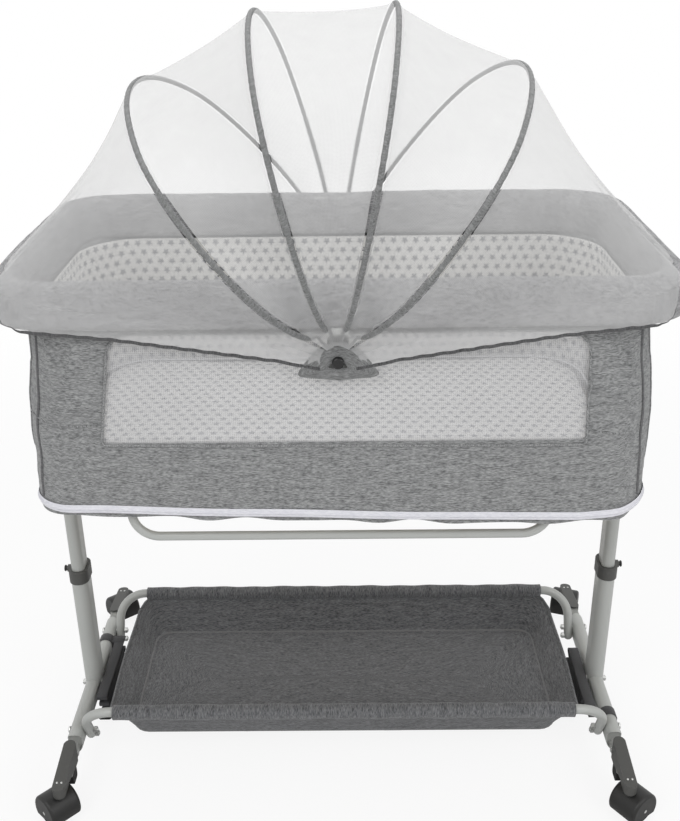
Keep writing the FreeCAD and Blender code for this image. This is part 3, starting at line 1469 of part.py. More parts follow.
class Arch:
    """A bow-like line in an upright plane: two side curves, a crown curve, two feet."""

    def __init__(self, half_width, wide_r, side_radius, top_r, foot_y, foot_r):
        self.half_width = half_width
        self.wide_r = wide_r
        self.side_radius = side_radius
        self.top_r = top_r
        self.foot_y = foot_y
        self.foot_r = foot_r

    def inset(self, amount):
        """The same arch drawn smaller by an amount all round."""
        return Arch(
            self.half_width - amount,
            self.wide_r,
            self.side_radius - amount,
            self.top_r - amount,
            self.foot_y - amount,
            self.foot_r,
        )

    def foot_curve(self):
        """Radius and centre of the curve between the foot and the widest point."""
        run_out = self.half_width - self.foot_y
        rise = self.wide_r - self.foot_r
        radius = (run_out ** 2 + rise ** 2) / (2 * run_out)
        return radius, self.half_width - radius

    def crown_curve(self):
        """Radius of the crown curve and the angle at which it meets the side curves."""
        across = self.half_width - self.side_radius
        rise = self.top_r - self.wide_r
        radius = (across ** 2 + rise ** 2 - self.side_radius ** 2) / (2 * (rise - self.side_radius))
        angle = math.atan2(self.wide_r - self.top_r + radius, across)
        return radius, angle

    def points(self, from_r=None):
        """Ends and middles of the arches' five curves, from one foot to the other."""
        foot_radius, foot_centre = self.foot_curve()
        start_r = self.foot_r if from_r is None else from_r
        low = math.asin((start_r - self.wide_r) / foot_radius)
        crown_radius, meet = self.crown_curve()
        side_centre = self.half_width - self.side_radius
        crown_centre = self.top_r - crown_radius

        def foot(angle):
            return (foot_centre + foot_radius * math.cos(angle),
                    self.wide_r + foot_radius * math.sin(angle))

        def side(angle):
            return (side_centre + self.side_radius * math.cos(angle),
                    self.wide_r + self.side_radius * math.sin(angle))

        def crown(angle):
            return (crown_radius * math.cos(angle), crown_centre + crown_radius * math.sin(angle))

        right = [foot(low), foot(low / 2), foot(0), side(meet / 2), side(meet)]
        middle = [crown(math.pi / 2)]
        left = [(-y, r) for y, r in reversed(right)]
        return right + middle + left


def in_plane(tilt, y, r, shift=0.0):
    """A point at a height from the pivot in a leaning plane, moved off it by a shift."""
    lean = math.radians(tilt)
    return Vector(
        r * math.sin(lean) + shift * math.cos(lean),
        y,
        size("hub_z") + r * math.cos(lean) - shift * math.sin(lean),
    )


def arch_edges(points, tilt, shift=0.0):
    """Curves through an arch's points, which alternate between ends and middles."""
    places = [in_plane(tilt, y, r, shift) for y, r in points]
    return [
        Part.Arc(places[index], places[index + 1], places[index + 2]).toShape()
        for index in range(0, len(places) - 2, 2)
    ]


def bow_arch(layer_y):
    return Arch(
        size("bow_half_width"),
        size("bow_wide_r"),
        size("bow_side_radius"),
        size("bow_top_r"),
        layer_y,
        size("arm_tip_r"),
    )


def swept_rod(edges, radius):
    """A round rod along a run of tangent curves."""
    wire = Part.Wire(edges)
    start = edges[0].firstVertex(True).Point
    tangent = edges[0].tangentAt(edges[0].FirstParameter)
    ring = Part.Wire([Part.makeCircle(radius, start, tangent)])
    return wire.makePipeShell([ring], True, True)


def bow_eye(tilt, layer_y, way):
    """The flat arm: an eye on the stud, narrowing to where the rod leaves it."""
    thickness = size("eye_thickness")
    radius = size("eye_radius")
    tip_half = size("arm_tip_width/2")
    tip_r = size("arm_tip_r")
    y = way * layer_y - thickness / 2
    base = Part.makeCylinder(radius, thickness, Vector(0, y, size("hub_z")), AXIS_Y)
    corners = [
        in_plane(tilt, y, 0, -radius),
        in_plane(tilt, y, 0, radius),
        in_plane(tilt, y, tip_r, tip_half),
        in_plane(tilt, y, tip_r, -tip_half),
    ]
    taper = Part.Face(Part.makePolygon(corners + corners[:1])).extrude(Vector(0, thickness, 0))
    tip = Part.makeCylinder(tip_half, thickness, in_plane(tilt, y, tip_r), AXIS_Y)
    hole = Part.makeCylinder(
        size("stud_radius+running_clearance"), 3 * thickness,
        Vector(0, y - thickness, size("hub_z")), AXIS_Y,
    )
    return base.fuse([taper, tip]).cut(hole)


def net_bow(number):
    tilt = size(f"bow_{number}_tilt")
    layer_y = size(f"eye_start+eye_thickness/2+{number - 1}*eye_pitch")
    arch = bow_arch(layer_y)
    rod = swept_rod(arch_edges(arch.points(), tilt), size("bow_rod_radius"))
    bound = swept_rod(
        arch_edges(arch.points(size("bow_sleeve_r")), tilt), size("bow_sleeve_radius")
    )
    eyes = [bow_eye(tilt, layer_y, way) for way in (-1, 1)]
    shaped(f"net_bow_{number}", bound.fuse([rod] + eyes).removeSplitter())


def net_band(arch, tilt, shift=0.0):
    """A closed outline round an arch: the arch, the same arch inset and two short ends."""
    outer = arch.points()
    inner = arch.inset(size("net_thickness")).points()
    outer_edges = arch_edges(outer, tilt, shift)
    inner_edges = arch_edges(inner, tilt, shift)
    ends = [
        Part.makeLine(in_plane(tilt, *outer[index], shift), in_plane(tilt, *inner[index], shift))
        for index in (-1, 0)
    ]
    return Part.Wire(outer_edges + [ends[0]] + inner_edges[::-1] + [ends[1]])


def bow_side_arch():
    """The net where it meets a bow."""
    return Arch(
        size("bow_half_width"),
        size("bow_wide_r"),
        size("bow_side_radius"),
        size("bow_top_r"),
        size("net_start_y"),
        size("net_start_r"),
    )


def net_gore(first):
    """The net between two bows, drawn in midway."""
    tilt_a = size(f"bow_{first}_tilt")
    tilt_b = size(f"bow_{first + 1}_tilt")
    clear = size("bow_sleeve_radius+seat_gap")
    middle = Arch(
        size("net_mid_half_width"),
        size("bow_wide_r"),
        size("bow_side_radius-(bow_half_width-net_mid_half_width)"),
        size("net_mid_top_r"),
        size("net_start_y-(bow_half_width-net_mid_half_width)/2"),
        size("net_start_r"),
    )
    sections = [
        net_band(bow_side_arch(), tilt_a, clear),
        net_band(middle, (tilt_a + tilt_b) / 2),
        net_band(bow_side_arch(), tilt_b, -clear),
    ]
    shaped(f"net_gore_{first}{first + 1}", Part.makeLoft(sections, True, False))


def plane_arch(plane):
    """The end net's line in one of the planes that it passes through."""
    return Arch(
        size(f"{plane}_half_width"),
        size(f"{plane}_wide_r"),
        size(f"{plane}_side_radius"),
        size(f"{plane}_top_r"),
        size(f"{plane}_foot_y"),
        size("net_start_r"),
    )


def net_end(name, sign):
    """The net from an outer bow down over the end of the padded rim to its hem."""
    bow = 1 if sign < 0 else 4
    bow_tilt = size(f"bow_{bow}_tilt")
    sections = [
        net_band(bow_side_arch(), bow_tilt, sign * size("bow_sleeve_radius+seat_gap")),
    ]
    for plane in ("fall", "slope", "rim", "skirt", "hem"):
        sections.append(net_band(plane_arch(plane), sign * size(f"{plane}_tilt")))
    shaped(f"net_end_{name}", Part.makeLoft(sections, True, True))


for side_name, side_sign in LEFT_RIGHT:
    inner_leg(side_name, side_sign)
group("inner_leg_glides", [inner_leg_glide(*side) for side in LEFT_RIGHT])
group("top_rail", [rail_half(*end) for end in FRONT_REAR])
rail_cover()
side_fabric()
mesh_window()
liner()
base_board()
mattress()
zip_tape()
drop_side_zips()
support_hoop()
group("hub_brackets", [hub_bracket(*end) for end in FRONT_REAR])
group("hub_knobs", [hub_knob(*end) for end in FRONT_REAR])
group("hub_patches", [hub_patch(*end) for end in FRONT_REAR])
for number in range(1, 5):
    net_bow(number)
for first in range(1, 4):
    net_gore(first)
for side in LEFT_RIGHT:
    net_end(*side)

# ---------------------------------------------------------------- write the sub-parts

document.recompute()
for feature in document.Objects:
    if {"Invalid", "Error"} & set(feature.State):
        raise RuntimeError(f"{feature.Label}: {feature.State}")
for node in nodes:
    shape = node.Shape
    if shape.isNull() or not shape.isValid():
        raise RuntimeError(f"{node.Label} has no valid shape")
    shape.exportStep(f"parts/{node.Label}.step")
    box = shape.BoundBox
    print(f"{node.Label}: {len(shape.Solids)} solids, volume {shape.Volume:.0f}, "
          f"X {box.XMin:.1f} {box.XMax:.1f} Y {box.YMin:.1f} {box.YMax:.1f} "
          f"Z {box.ZMin:.1f} {box.ZMax:.1f}")
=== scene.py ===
"""Bedside sleeper crib: the looks of its cloth, net, plastic and painted steel.

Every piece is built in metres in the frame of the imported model. X runs along the crib,
-Y is the front with the mesh window, and Z is up from the floor.
"""
import logging
import math
from dataclasses import dataclass, field
from enum import Enum

import bmesh
import bpy
import numpy as np
from mathutils import Matrix, Vector, noise

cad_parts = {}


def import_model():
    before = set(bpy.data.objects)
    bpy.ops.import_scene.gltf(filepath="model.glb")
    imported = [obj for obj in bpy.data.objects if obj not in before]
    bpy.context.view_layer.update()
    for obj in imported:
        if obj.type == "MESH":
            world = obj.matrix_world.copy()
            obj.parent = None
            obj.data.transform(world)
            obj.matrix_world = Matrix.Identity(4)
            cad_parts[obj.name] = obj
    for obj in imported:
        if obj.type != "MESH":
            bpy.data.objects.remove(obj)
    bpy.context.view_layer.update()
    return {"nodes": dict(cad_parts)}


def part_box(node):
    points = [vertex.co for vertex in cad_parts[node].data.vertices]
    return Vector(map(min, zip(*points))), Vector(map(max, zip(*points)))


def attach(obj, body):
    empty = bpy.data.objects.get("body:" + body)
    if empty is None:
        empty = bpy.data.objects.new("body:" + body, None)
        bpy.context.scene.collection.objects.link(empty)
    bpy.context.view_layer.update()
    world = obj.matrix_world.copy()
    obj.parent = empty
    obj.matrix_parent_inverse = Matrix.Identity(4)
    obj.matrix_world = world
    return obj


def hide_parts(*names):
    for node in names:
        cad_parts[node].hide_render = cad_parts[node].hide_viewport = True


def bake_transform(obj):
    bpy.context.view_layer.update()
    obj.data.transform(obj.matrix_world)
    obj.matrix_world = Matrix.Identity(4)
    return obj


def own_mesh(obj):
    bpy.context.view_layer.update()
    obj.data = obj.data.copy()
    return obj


log = logging.getLogger("crib")

MM = 0.001
LEFT_RIGHT = (("left", -1), ("right", 1))
FRONT_REAR = (("front", -1), ("rear", 1))
CORNERS = tuple(f"{end}_{side}" for end, _ in FRONT_REAR for side, _ in LEFT_RIGHT)


class Hold(Enum):
    """How a sheet of cloth is held, in the frame's own words."""

    HUNG = "hung"
    STRETCHED = "stretched"
    GATHERED = "gathered"


# ------------------------------------------------------------------ materials


def linear(hex_colour: str) -> tuple[float, float, float, float]:
    """Turn an sRGB hex colour to linear light.

    Args:
        hex_colour: Six hex digits, such as "8f9190".

    Returns:
        Red, green, blue and an alpha of 1.
    """
    channels = [int(hex_colour[index:index + 2], 16) / 255 for index in (0, 2, 4)]
    light = [
        value / 12.92 if value <= 0.04045 else ((value + 0.055) / 1.055) ** 2.4
        for value in channels
    ]
    return (light[0], light[1], light[2], 1.0)


def add_node(
    tree: bpy.types.NodeTree,
    kind: str,
    settings: dict[str, object] | None = None,
    links: dict[str | int, tuple[bpy.types.Node, str | int]] | None = None,
) -> bpy.types.Node:
    """Add one node with its settings and links.

    Args:
        tree: The node tree.
        kind: The node's type name, such as "ShaderNodeTexNoise".
        settings: Property names or, with a leading ":", input names, and their values.
        links: Input names or numbers, each with the node and output that feed it.

    Returns:
        The new node.
    """
    node = tree.nodes.new(kind)
    for name, value in (settings or {}).items():
        if name.startswith(":"):
            key = name[1:]
            node.inputs[int(key) if key.isdigit() else key].default_value = value
        else:
            setattr(node, name, value)
    for name, (source, output) in (links or {}).items():
        tree.links.new(source.outputs[output], node.inputs[name])
    return node


def start_material(name: str) -> tuple[bpy.types.Material, bpy.types.NodeTree, bpy.types.Node]:
    """Make an empty material with its output node.

    Args:
        name: The material's name.

    Returns:
        The material, its tree and its output node.
    """
    material = bpy.data.materials.new(name)
    material.use_nodes = True
    tree = material.node_tree
    tree.nodes.clear()
    return material, tree, add_node(tree, "ShaderNodeOutputMaterial")


def place_in_mm(tree: bpy.types.NodeTree, source: str = "Object") -> bpy.types.Node:
    """Give texture coordinates in millimetres.

    Args:
        tree: The node tree.
        source: "Object" for places on the crib, or "UV" for places on unrolled cloth.

    Returns:
        A vector node whose "Vector" output is in millimetres.
    """
    coordinates = add_node(tree, "ShaderNodeTexCoord")
    return add_node(
        tree,
        "ShaderNodeVectorMath",
        {"operation": "SCALE", ":Scale": 1 / MM},
        {0: (coordinates, source)},
    )


Link = tuple[bpy.types.Node, str | int]


class Shading:
    """A material being made, with short calls for the nodes that most finishes use."""

    def __init__(self, name: str, source: str = "Object") -> None:
        """Start a material.

        Args:
            name: The material's name.
            source: "Object" for places on the crib, or "UV" for places on unrolled cloth.
        """
        self.material, self.tree, self.output = start_material(name)
        self.place = place_in_mm(self.tree, source)

    def noise(
        self, size_mm: float, detail: float, roughness: float = 0.5,
        place: bpy.types.Node | None = None,
    ) -> Link:
        """Draw smooth noise.

        Args:
            size_mm: Its grain.
            detail: How many finer layers it has.
            roughness: How strong the finer layers are.
            place: The places to use in place of the material's own.

        Returns:
            The noise, mostly between 0.3 and 0.7.
        """
        node = add_node(
            self.tree, "ShaderNodeTexNoise",
            {":Scale": 1 / size_mm, ":Detail": detail, ":Roughness": roughness},
            {"Vector": (place or self.place, "Vector")},
        )
        return node, "Fac"

    def waves(self, way: str, pitch_mm: float, distortion: float, **inputs: float) -> Link:
        """Draw parallel bands.

        Args:
            way: "X" or "Y".
            pitch_mm: Distance between bands. The texture's own bands are 0.314 apart.
            distortion: How unsteady they are.
            inputs: Other inputs of the node, with "_" for a space.

        Returns:
            The bands.
        """
        settings = {f":{name.replace('_', ' ')}": value for name, value in inputs.items()}
        node = add_node(
            self.tree, "ShaderNodeTexWave",
            {"bands_direction": way, ":Scale": 1 / (3.2 * pitch_mm), ":Distortion": distortion,
             **settings},
            {"Vector": (self.place, "Vector")},
        )
        return node, "Fac"

    def compute(self, operation: str, first: Link, second: Link | float | None = None) -> Link:
        """Work out one sum from a value and, for most operations, a second one."""
        settings: dict[str, object] = {"operation": operation}
        links: dict[str | int, Link] = {0: first}
        if isinstance(second, tuple):
            links[1] = second
        elif second is not None:
            settings[":1"] = second
        return add_node(self.tree, "ShaderNodeMath", settings, links), 0

    def remap(
        self, value: Link, ends: tuple[float, float], span: tuple[float, float] = (0.0, 1.0)
    ) -> Link:
        """Stretch a value from one span to another, held within its ends."""
        node = add_node(
            self.tree, "ShaderNodeMapRange",
            {":From Min": span[0], ":From Max": span[1], ":To Min": ends[0], ":To Max": ends[1]},
            {"Value": value},
        )
        return node, 0

    def mix(self, low: str, high: str, share: Link) -> Link:
        """Mix two colours: the first at a share of 0, the second at 1."""
        node = add_node(
            self.tree, "ShaderNodeMix",
            {"data_type": "RGBA", ":6": linear(low), ":7": linear(high)}, {0: share},
        )
        return node, 2

    def bump(
        self, height: Link, strength: float, depth_mm: float, under: Link | None = None
    ) -> Link:
        """Raise the surface by a height, on top of an earlier bump if there is one."""
        links: dict[str | int, Link] = {"Height": height}
        if under is not None:
            links["Normal"] = under
        node = add_node(
            self.tree, "ShaderNodeBump",
            {":Strength": strength, ":Distance": depth_mm * MM}, links,
        )
        return node, 0

    def weave(self, thread_mm: float) -> Link:
        """Draw crossing threads as a height."""
        across, along = (
            self.waves(way, thread_mm, 0.4, Detail=1.0, Detail_Scale=0.5) for way in ("X", "Y")
        )
        return self.compute("MULTIPLY", across, along)

    def surface(
        self, settings: dict[str, object], links: dict[str | int, Link]
    ) -> bpy.types.Material:
        """Add the surface's shader, and return the material."""
        shader = add_node(self.tree, "ShaderNodeBsdfPrincipled", settings, links)
        self.tree.links.new(shader.outputs[0], self.output.inputs[0])
        return self.material


@dataclass(frozen=True)
class PowderCoat:
    """Powder-coated steel tube: even semi-gloss paint with a faint orange peel."""

    name: str
    colour: str
    shade: str
    roughness: float = 0.36
    peel_mm: float = 1.6
    peel_depth_mm: float = 0.02
    drift_mm: float = 90.0

    def build(self) -> bpy.types.Material:
        """Return the material."""
        shading = Shading(self.name)
        peel = shading.noise(self.peel_mm, 2.0)
        drift = shading.noise(self.drift_mm, 3.0)
        return shading.surface(
            {":IOR": 1.5, ":Coat Weight": 0.15, ":Coat Roughness": 0.25},
            {
                "Base Color": shading.mix(self.shade, self.colour, drift),
                "Roughness": shading.remap(drift, (self.roughness - 0.05, self.roughness + 0.07)),
                "Normal": shading.bump(peel, 0.35, self.peel_depth_mm),
            },
        )


@dataclass(frozen=True)
class MouldedPlastic:
    """Injection-moulded plastic: spark-eroded grain, lighter scuffs in random patches."""

    name: str
    colour: str
    scuff: str
    roughness: float
    grain_mm: float = 0.7
    grain_depth_mm: float = 0.05
    wear_mm: float = 14.0

    def build(self) -> bpy.types.Material:
        """Return the material."""
        shading = Shading(self.name)
        grain = shading.noise(self.grain_mm, 4.0)
        wear = shading.noise(self.wear_mm, 6.0, 0.7)
        worn = shading.remap(wear, (0.0, 0.5), (0.55, 0.8))
        return shading.surface(
            {":IOR": 1.49},
            {
                "Base Color": shading.mix(self.colour, self.scuff, worn),
                "Roughness": shading.remap(wear, (self.roughness - 0.08, self.roughness + 0.1)),
                "Normal": shading.bump(grain, 0.5, self.grain_depth_mm),
            },
        )


@dataclass(frozen=True)
class PlatedSteel:
    """Zinc-plated steel: bright metal, finely brushed by tumbling."""

    name: str = "zinc_plated_steel"
    colour: str = "c9cac8"
    scratch_mm: float = 0.5

    def build(self) -> bpy.types.Material:
        """Return the material."""
        shading = Shading(self.name)
        scratches = shading.noise(self.scratch_mm, 5.0)
        return shading.surface(
            {":Metallic": 1.0, ":Base Color": linear(self.colour)},
            {"Roughness": shading.remap(scratches, (0.22, 0.42))},
        )


@dataclass(frozen=True)
class WovenCloth:
    """Plain-woven polyester: threads over and under, flecked by mixed yarns."""

    name: str
    light: str
    dark: str
    thread_mm: float = 1.1
    fleck_mm: float = 1.7
    fleck_share: float = 0.8
    fleck_stretch: float = 0.24
    cloud_mm: float = 7.0
    cloud_share: float = 0.35
    soft_fold_mm: float = 45.0
    soft_fold_depth_mm: float = 3.0
    sheen: float = 0.25
    depth_mm: float = 0.35

    def build(self) -> bpy.types.Material:
        """Return the material."""
        shading = Shading(self.name, "UV")
        weave = shading.weave(self.thread_mm)
        stretched = add_node(
            shading.tree, "ShaderNodeMapping", {":Scale": (self.fleck_stretch, 1.0, 1.0)},
            {"Vector": (shading.place, "Vector")},
        )
        fleck = shading.noise(self.fleck_mm, 2.0, 0.65, stretched)
        cloud = shading.noise(self.cloud_mm, 3.0, 0.7, stretched)
        mottled = add_node(
            shading.tree, "ShaderNodeMix", {"data_type": "FLOAT", ":0": self.cloud_share},
            {2: fleck, 3: cloud},
        )
        reach = self.fleck_share / 6
        share = shading.remap((mottled, 0), (0.0, 1.0), (0.5 - reach, 0.5 + reach))
        soft = shading.noise(self.soft_fold_mm, 2.0)
        folds = shading.bump(soft, 0.25, self.soft_fold_depth_mm)
        return shading.surface(
            {":Roughness": 0.9, ":Sheen Weight": self.sheen, ":Sheen Roughness": 0.5,
             ":Specular IOR Level": 0.2},
            {
                "Base Color": shading.mix(self.dark, self.light, share),
                "Normal": shading.bump(weave, 0.5, self.depth_mm, folds),
            },
        )


@dataclass(frozen=True)
class StarCotton:
    """White cotton printed with small grey stars in rows that step sideways."""

    name: str = "printed_star_cotton"
    ground: str = "e6e5e2"
    ink: str = "85868a"
    across_mm: float = 19.0
    row_mm: float = 16.0
    star_mm: float = 6.4
    notch_share: float = 0.38
    points: int = 5
    thread_mm: float = 0.9

    def build(self) -> bpy.types.Material:
        """Return the material."""
        shading = Shading(self.name, "UV")
        parts = add_node(
            shading.tree, "ShaderNodeSeparateXYZ", {}, {0: (shading.place, "Vector")}
        )
        row = shading.compute("DIVIDE", (parts, 1), self.row_mm)
        step = shading.compute("MULTIPLY", shading.compute("FLOOR", row), 0.5)
        column = shading.compute("DIVIDE", (parts, 0), self.across_mm)
        stepped = shading.compute("ADD", column, step)
        offsets = []
        for source, pitch in ((stepped, self.across_mm), (row, self.row_mm)):
            centred = shading.compute("SUBTRACT", shading.compute("FRACT", source), 0.5)
            offsets.append(shading.compute("MULTIPLY", centred, pitch))
        half_turn = math.pi / self.points
        turn = shading.compute("PINGPONG", shading.compute("ARCTAN2", *offsets), half_turn)
        point_reach = shading.remap(
            turn, (self.star_mm, self.star_mm * self.notch_share), (0.0, half_turn)
        )
        squares = [shading.compute("POWER", offset, 2.0) for offset in offsets]
        reach = shading.compute("SQRT", shading.compute("ADD", *squares))
        inked = shading.compute("LESS_THAN", reach, point_reach)
        return shading.surface(
            {":Roughness": 0.88, ":Sheen Weight": 0.2, ":Specular IOR Level": 0.2},
            {
                "Base Color": shading.mix(self.ground, self.ink, inked),
                "Normal": shading.bump(shading.weave(self.thread_mm), 0.3, 0.2),
            },
        )


@dataclass(frozen=True)
class OpenNet:
    """Knitted net: white yarn round small holes, so most of what is behind shows."""

    name: str
    yarn: str
    cover: float
    hole_mm: float
    contrast: float
    shine: float = 0.1
    drift_mm: float = 60.0

    def build(self) -> bpy.types.Material:
        """Return the material."""
        shading = Shading(self.name, "UV")
        cells = add_node(
            shading.tree, "ShaderNodeTexVoronoi",
            {":Scale": 1 / self.hole_mm, ":Randomness": 0.15, "feature": "DISTANCE_TO_EDGE"},
            {"Vector": (shading.place, "Vector")},
        )
        yarn_line = shading.remap(
            (cells, 0), (self.cover + self.contrast, self.cover - self.contrast), (0.08, 0.32)
        )
        shade = shading.remap(shading.noise(self.drift_mm, 3.0), (-0.05, 0.05))
        cover = add_node(
            shading.tree, "ShaderNodeMath", {"operation": "ADD", "use_clamp": True},
            {0: yarn_line, 1: shade},
        )
        return shading.surface(
            {":Base Color": linear(self.yarn), ":Roughness": 0.7,
             ":Sheen Weight": self.shine, ":Specular IOR Level": 0.15},
            {"Alpha": (cover, 0)},
        )


@dataclass(frozen=True)
class Webbing:
    """Woven polyester webbing: close ribs across its length, with painted shade darkening the
    grooves between them.
    """

    name: str
    light: str
    dark: str
    rib_mm: float = 2.0
    rib_depth_mm: float = 0.4

    def build(self) -> bpy.types.Material:
        """Return the material."""
        shading = Shading(self.name, "UV")
        ribs = shading.waves("X", self.rib_mm, 0.6, Detail=2.0)
        return shading.surface(
            {":Roughness": 0.75, ":Sheen Weight": 0.15},
            {
                # The colour follows the ribs' height: painted shade, dark down in the grooves and
                # light on the rib tops.
                "Base Color": shading.mix(self.dark, self.light, ribs),
                "Normal": shading.bump(ribs, 0.6, self.rib_depth_mm),
            },
        )


@dataclass(frozen=True)
class PressedBoard:
    """Pressed wood-fibre board: brown-grey fibres."""

    name: str = "pressed_board"
    light: str = "b9ab95"
    dark: str = "96886f"
    fibre_mm: float = 2.5

    def build(self) -> bpy.types.Material:
        """Return the material."""
        shading = Shading(self.name)
        fibres = shading.noise(self.fibre_mm, 6.0)
        return shading.surface(
            {":Roughness": 0.85}, {"Base Color": shading.mix(self.dark, self.light, fibres)}
        )


class Finish(Enum):
    """The crib's finishes, each named for what it is."""

    # Powder coat: a soft sheen broken by the fine pebbling of baked paint.
    STAND_PAINT = PowderCoat("grey_powder_coat", "b9bbb8", "b2b4b1")
    CRADLE_PAINT = PowderCoat("silver_grey_powder_coat", "b4b6b3", "adafac")
    # Moulded plastic: near-even colour under a fine grain, paler where scuffed. The polished
    # one mirrors the lamps, and the rubber is the dullest.
    DARK_PLASTIC = MouldedPlastic("dark_grey_moulded_abs", "4c4c4a", "5d5d5b", 0.5)
    BLACK_PLASTIC = MouldedPlastic("black_moulded_nylon", "191918", "262625", 0.45)
    GLOSS_PLASTIC = MouldedPlastic("polished_black_abs", "101010", "161616", 0.16)
    CAP_PLASTIC = MouldedPlastic("grey_moulded_abs", "a3a4a1", "b0b1ae", 0.45)
    RUBBER = MouldedPlastic("black_moulded_rubber", "1c1c1b", "292928", 0.75)
    # Zinc plate: small bright points at the fasteners.
    STEEL = PlatedSteel()
    # Melange polyester: light and dark flecks drawn out one way, over a weave. Its threads are
    # drawn about twice as coarse as such cloth's, so that they still show from where it is seen.
    RIM_CLOTH = WovenCloth("melange_rim_cloth", "b6b6b7", "69696b")
    BODY_CLOTH = WovenCloth("melange_body_cloth", "b0b1b1", "606162")
    BASKET_CLOTH = WovenCloth("melange_basket_cloth", "868789", "47484a")
    PIPING = WovenCloth("grey_bias_piping", "8d8d8e", "6d6d6e", fleck_share=1.4)
    BOW_CLOTH = WovenCloth("grey_bow_binding", "9a9b9b", "5c5d5d", fleck_share=1.0)
    HEM_CLOTH = WovenCloth("dark_elastic_hem", "6a6a6b", "444445", thread_mm=1.4)
    # White cotton and tapes: nearly plain, so that the print and the zips' ridges stand out.
    STAR_CLOTH = StarCotton()
    WHITE_CLOTH = WovenCloth("white_polyester", "f0f0f1", "e2e2e4", fleck_share=1.4)
    WHITE_ZIP = WovenCloth("white_zip_tape", "f1f1f6", "dcdce4", thread_mm=1.6)
    GREY_ZIP = WovenCloth("grey_zip_tape", "7a7a7b", "58585a", thread_mm=1.6)
    # Net: a pale veil over what is behind, closer on the window. Numbers: how much it covers,
    # its holes in mm, and how much the yarn stands out from them.
    CANOPY_NET = OpenNet("sheer_canopy_net", "eeeeee", 0.36, 1.5, 0.035)
    WINDOW_NET = OpenNet("white_window_mesh", "dcdcde", 0.5, 2.6, 0.12)
    # Webbing: ribs across the strap, light on their tops, with painted shade dark in the grooves.
    STRAP = Webbing("dark_grey_webbing", "505052", "333335")
    # Pressed board: dull brown fibres, seen only from below.
    BOARD = PressedBoard()


class Paint:
    """Builds each finish once."""

    def __init__(self) -> None:
        """Start with no material built."""
        self._built: dict[Finish, bpy.types.Material] = {}

    def get(self, finish: Finish) -> bpy.types.Material:
        """Return the finish's material."""
        if finish not in self._built:
            self._built[finish] = finish.value.build()
        return self._built[finish]


PAINT = Paint()


# ------------------------------------------------------------------ mesh helpers


Points = np.ndarray


def make_object(name: str, mesh: bpy.types.Mesh, *finishes: Finish) -> bpy.types.Object:
    """Link a mesh as an object with its finishes.

    Args:
        name: The piece's name.
        mesh: Its mesh.
        finishes: One finish per material slot.

    Returns:
        The object.
    """
    piece = bpy.data.objects.new(name, mesh)
    bpy.context.scene.collection.objects.link(piece)
    for finish in finishes:
        mesh.materials.append(PAINT.get(finish))
    return piece


def grid_mesh(
    name: str,
    points: Points,
    loop_across: bool = False,
    loop_along: bool = False,
    keep: np.ndarray | None = None,
) -> bpy.types.Mesh:
    """Build a smooth mesh from rows of points, its UV map in metres along rows and columns.

    Args:
        name: The mesh's name.
        points: Array of rows, columns and X, Y, Z, in metres.
        loop_across: Whether each row's last point joins its first.
        loop_along: Whether the last row joins the first.
        keep: Which faces stay, by row and column.

    Returns:
        The mesh.
    """
    rows, columns = points.shape[:2]
    across = np.linalg.norm(np.diff(points, axis=1, append=points[:, :1]), axis=2)
    along = np.linalg.norm(np.diff(points, axis=0, append=points[:1]), axis=2)
    u = np.concatenate([np.zeros((rows, 1)), np.cumsum(across, axis=1)], axis=1)
    u -= u[:, columns // 2:columns // 2 + 1]
    v = np.concatenate([np.zeros((1, columns)), np.cumsum(along, axis=0)], axis=0)
    faces: list[tuple[int, ...]] = []
    corners: list[tuple[float, float]] = []
    for row in range(rows if loop_along else rows - 1):
        below = (row + 1) % rows
        for column in range(columns if loop_across else columns - 1):
            if keep is not None and not keep[row, column]:
                continue
            right = (column + 1) % columns
            faces.append((
                row * columns + column, row * columns + right,
                below * columns + right, below * columns + column,
            ))
            middle_v = v[:, column]
            corners += [
                (u[row, column], middle_v[row]), (u[row, column + 1], middle_v[row]),
                (u[row, column + 1], middle_v[row + 1]), (u[row, column], middle_v[row + 1]),
            ]
    mesh = bpy.data.meshes.new(name)
    mesh.from_pydata(points.reshape(-1, 3).tolist(), [], faces)
    layer = mesh.uv_layers.new(name="cloth")
    layer.data.foreach_set("uv", np.array(corners, dtype=np.float32).ravel())
    mesh.polygons.foreach_set("use_smooth", [True] * len(faces))
    mesh.update()
    tidy = bmesh.new()
    tidy.from_mesh(mesh)
    loose = [vertex for vertex in tidy.verts if not vertex.link_faces]
    bmesh.ops.delete(tidy, geom=loose, context="VERTS")
    tidy.to_mesh(mesh)
    tidy.free()
    return mesh


def close_holes(
    mesh: bpy.types.Mesh, reach: float = math.inf, outward: bool = False, split: bool = False
) -> None:
    """Fill a mesh's open edges with faces.

    Args:
        mesh: The mesh.
        reach: Leaves edges further than this from the plane Y = 0 open, in metres.
        outward: Whether to turn every face outward.
        split: Whether to cut faces of more than four corners into triangles.
    """
    work = bmesh.new()
    work.from_mesh(mesh)
    bmesh.ops.holes_fill(work, edges=[
        edge for edge in work.edges
        if edge.is_boundary and all(abs(vertex.co.y) < reach for vertex in edge.verts)
    ])
    if outward:
        bmesh.ops.recalc_face_normals(work, faces=work.faces)
    if split:
        bmesh.ops.triangulate(work, faces=[face for face in work.faces if len(face.verts) > 4])
    work.to_mesh(mesh)
    work.free()


def join_meshes(target: bpy.types.Mesh, parts: list[bpy.types.Mesh]) -> None:
    """Put several meshes into one, in the order given."""
    work = bmesh.new()
    for part in parts:
        work.from_mesh(part)
    work.to_mesh(target)
    work.free()


def apply_modifiers(piece: bpy.types.Object) -> None:
    """Turn a piece's modifiers into its mesh."""
    bpy.context.view_layer.update()
    graph = bpy.context.evaluated_depsgraph_get()
    mesh = bpy.data.meshes.new_from_object(piece.evaluated_get(graph))
    piece.modifiers.clear()
    piece.data = mesh


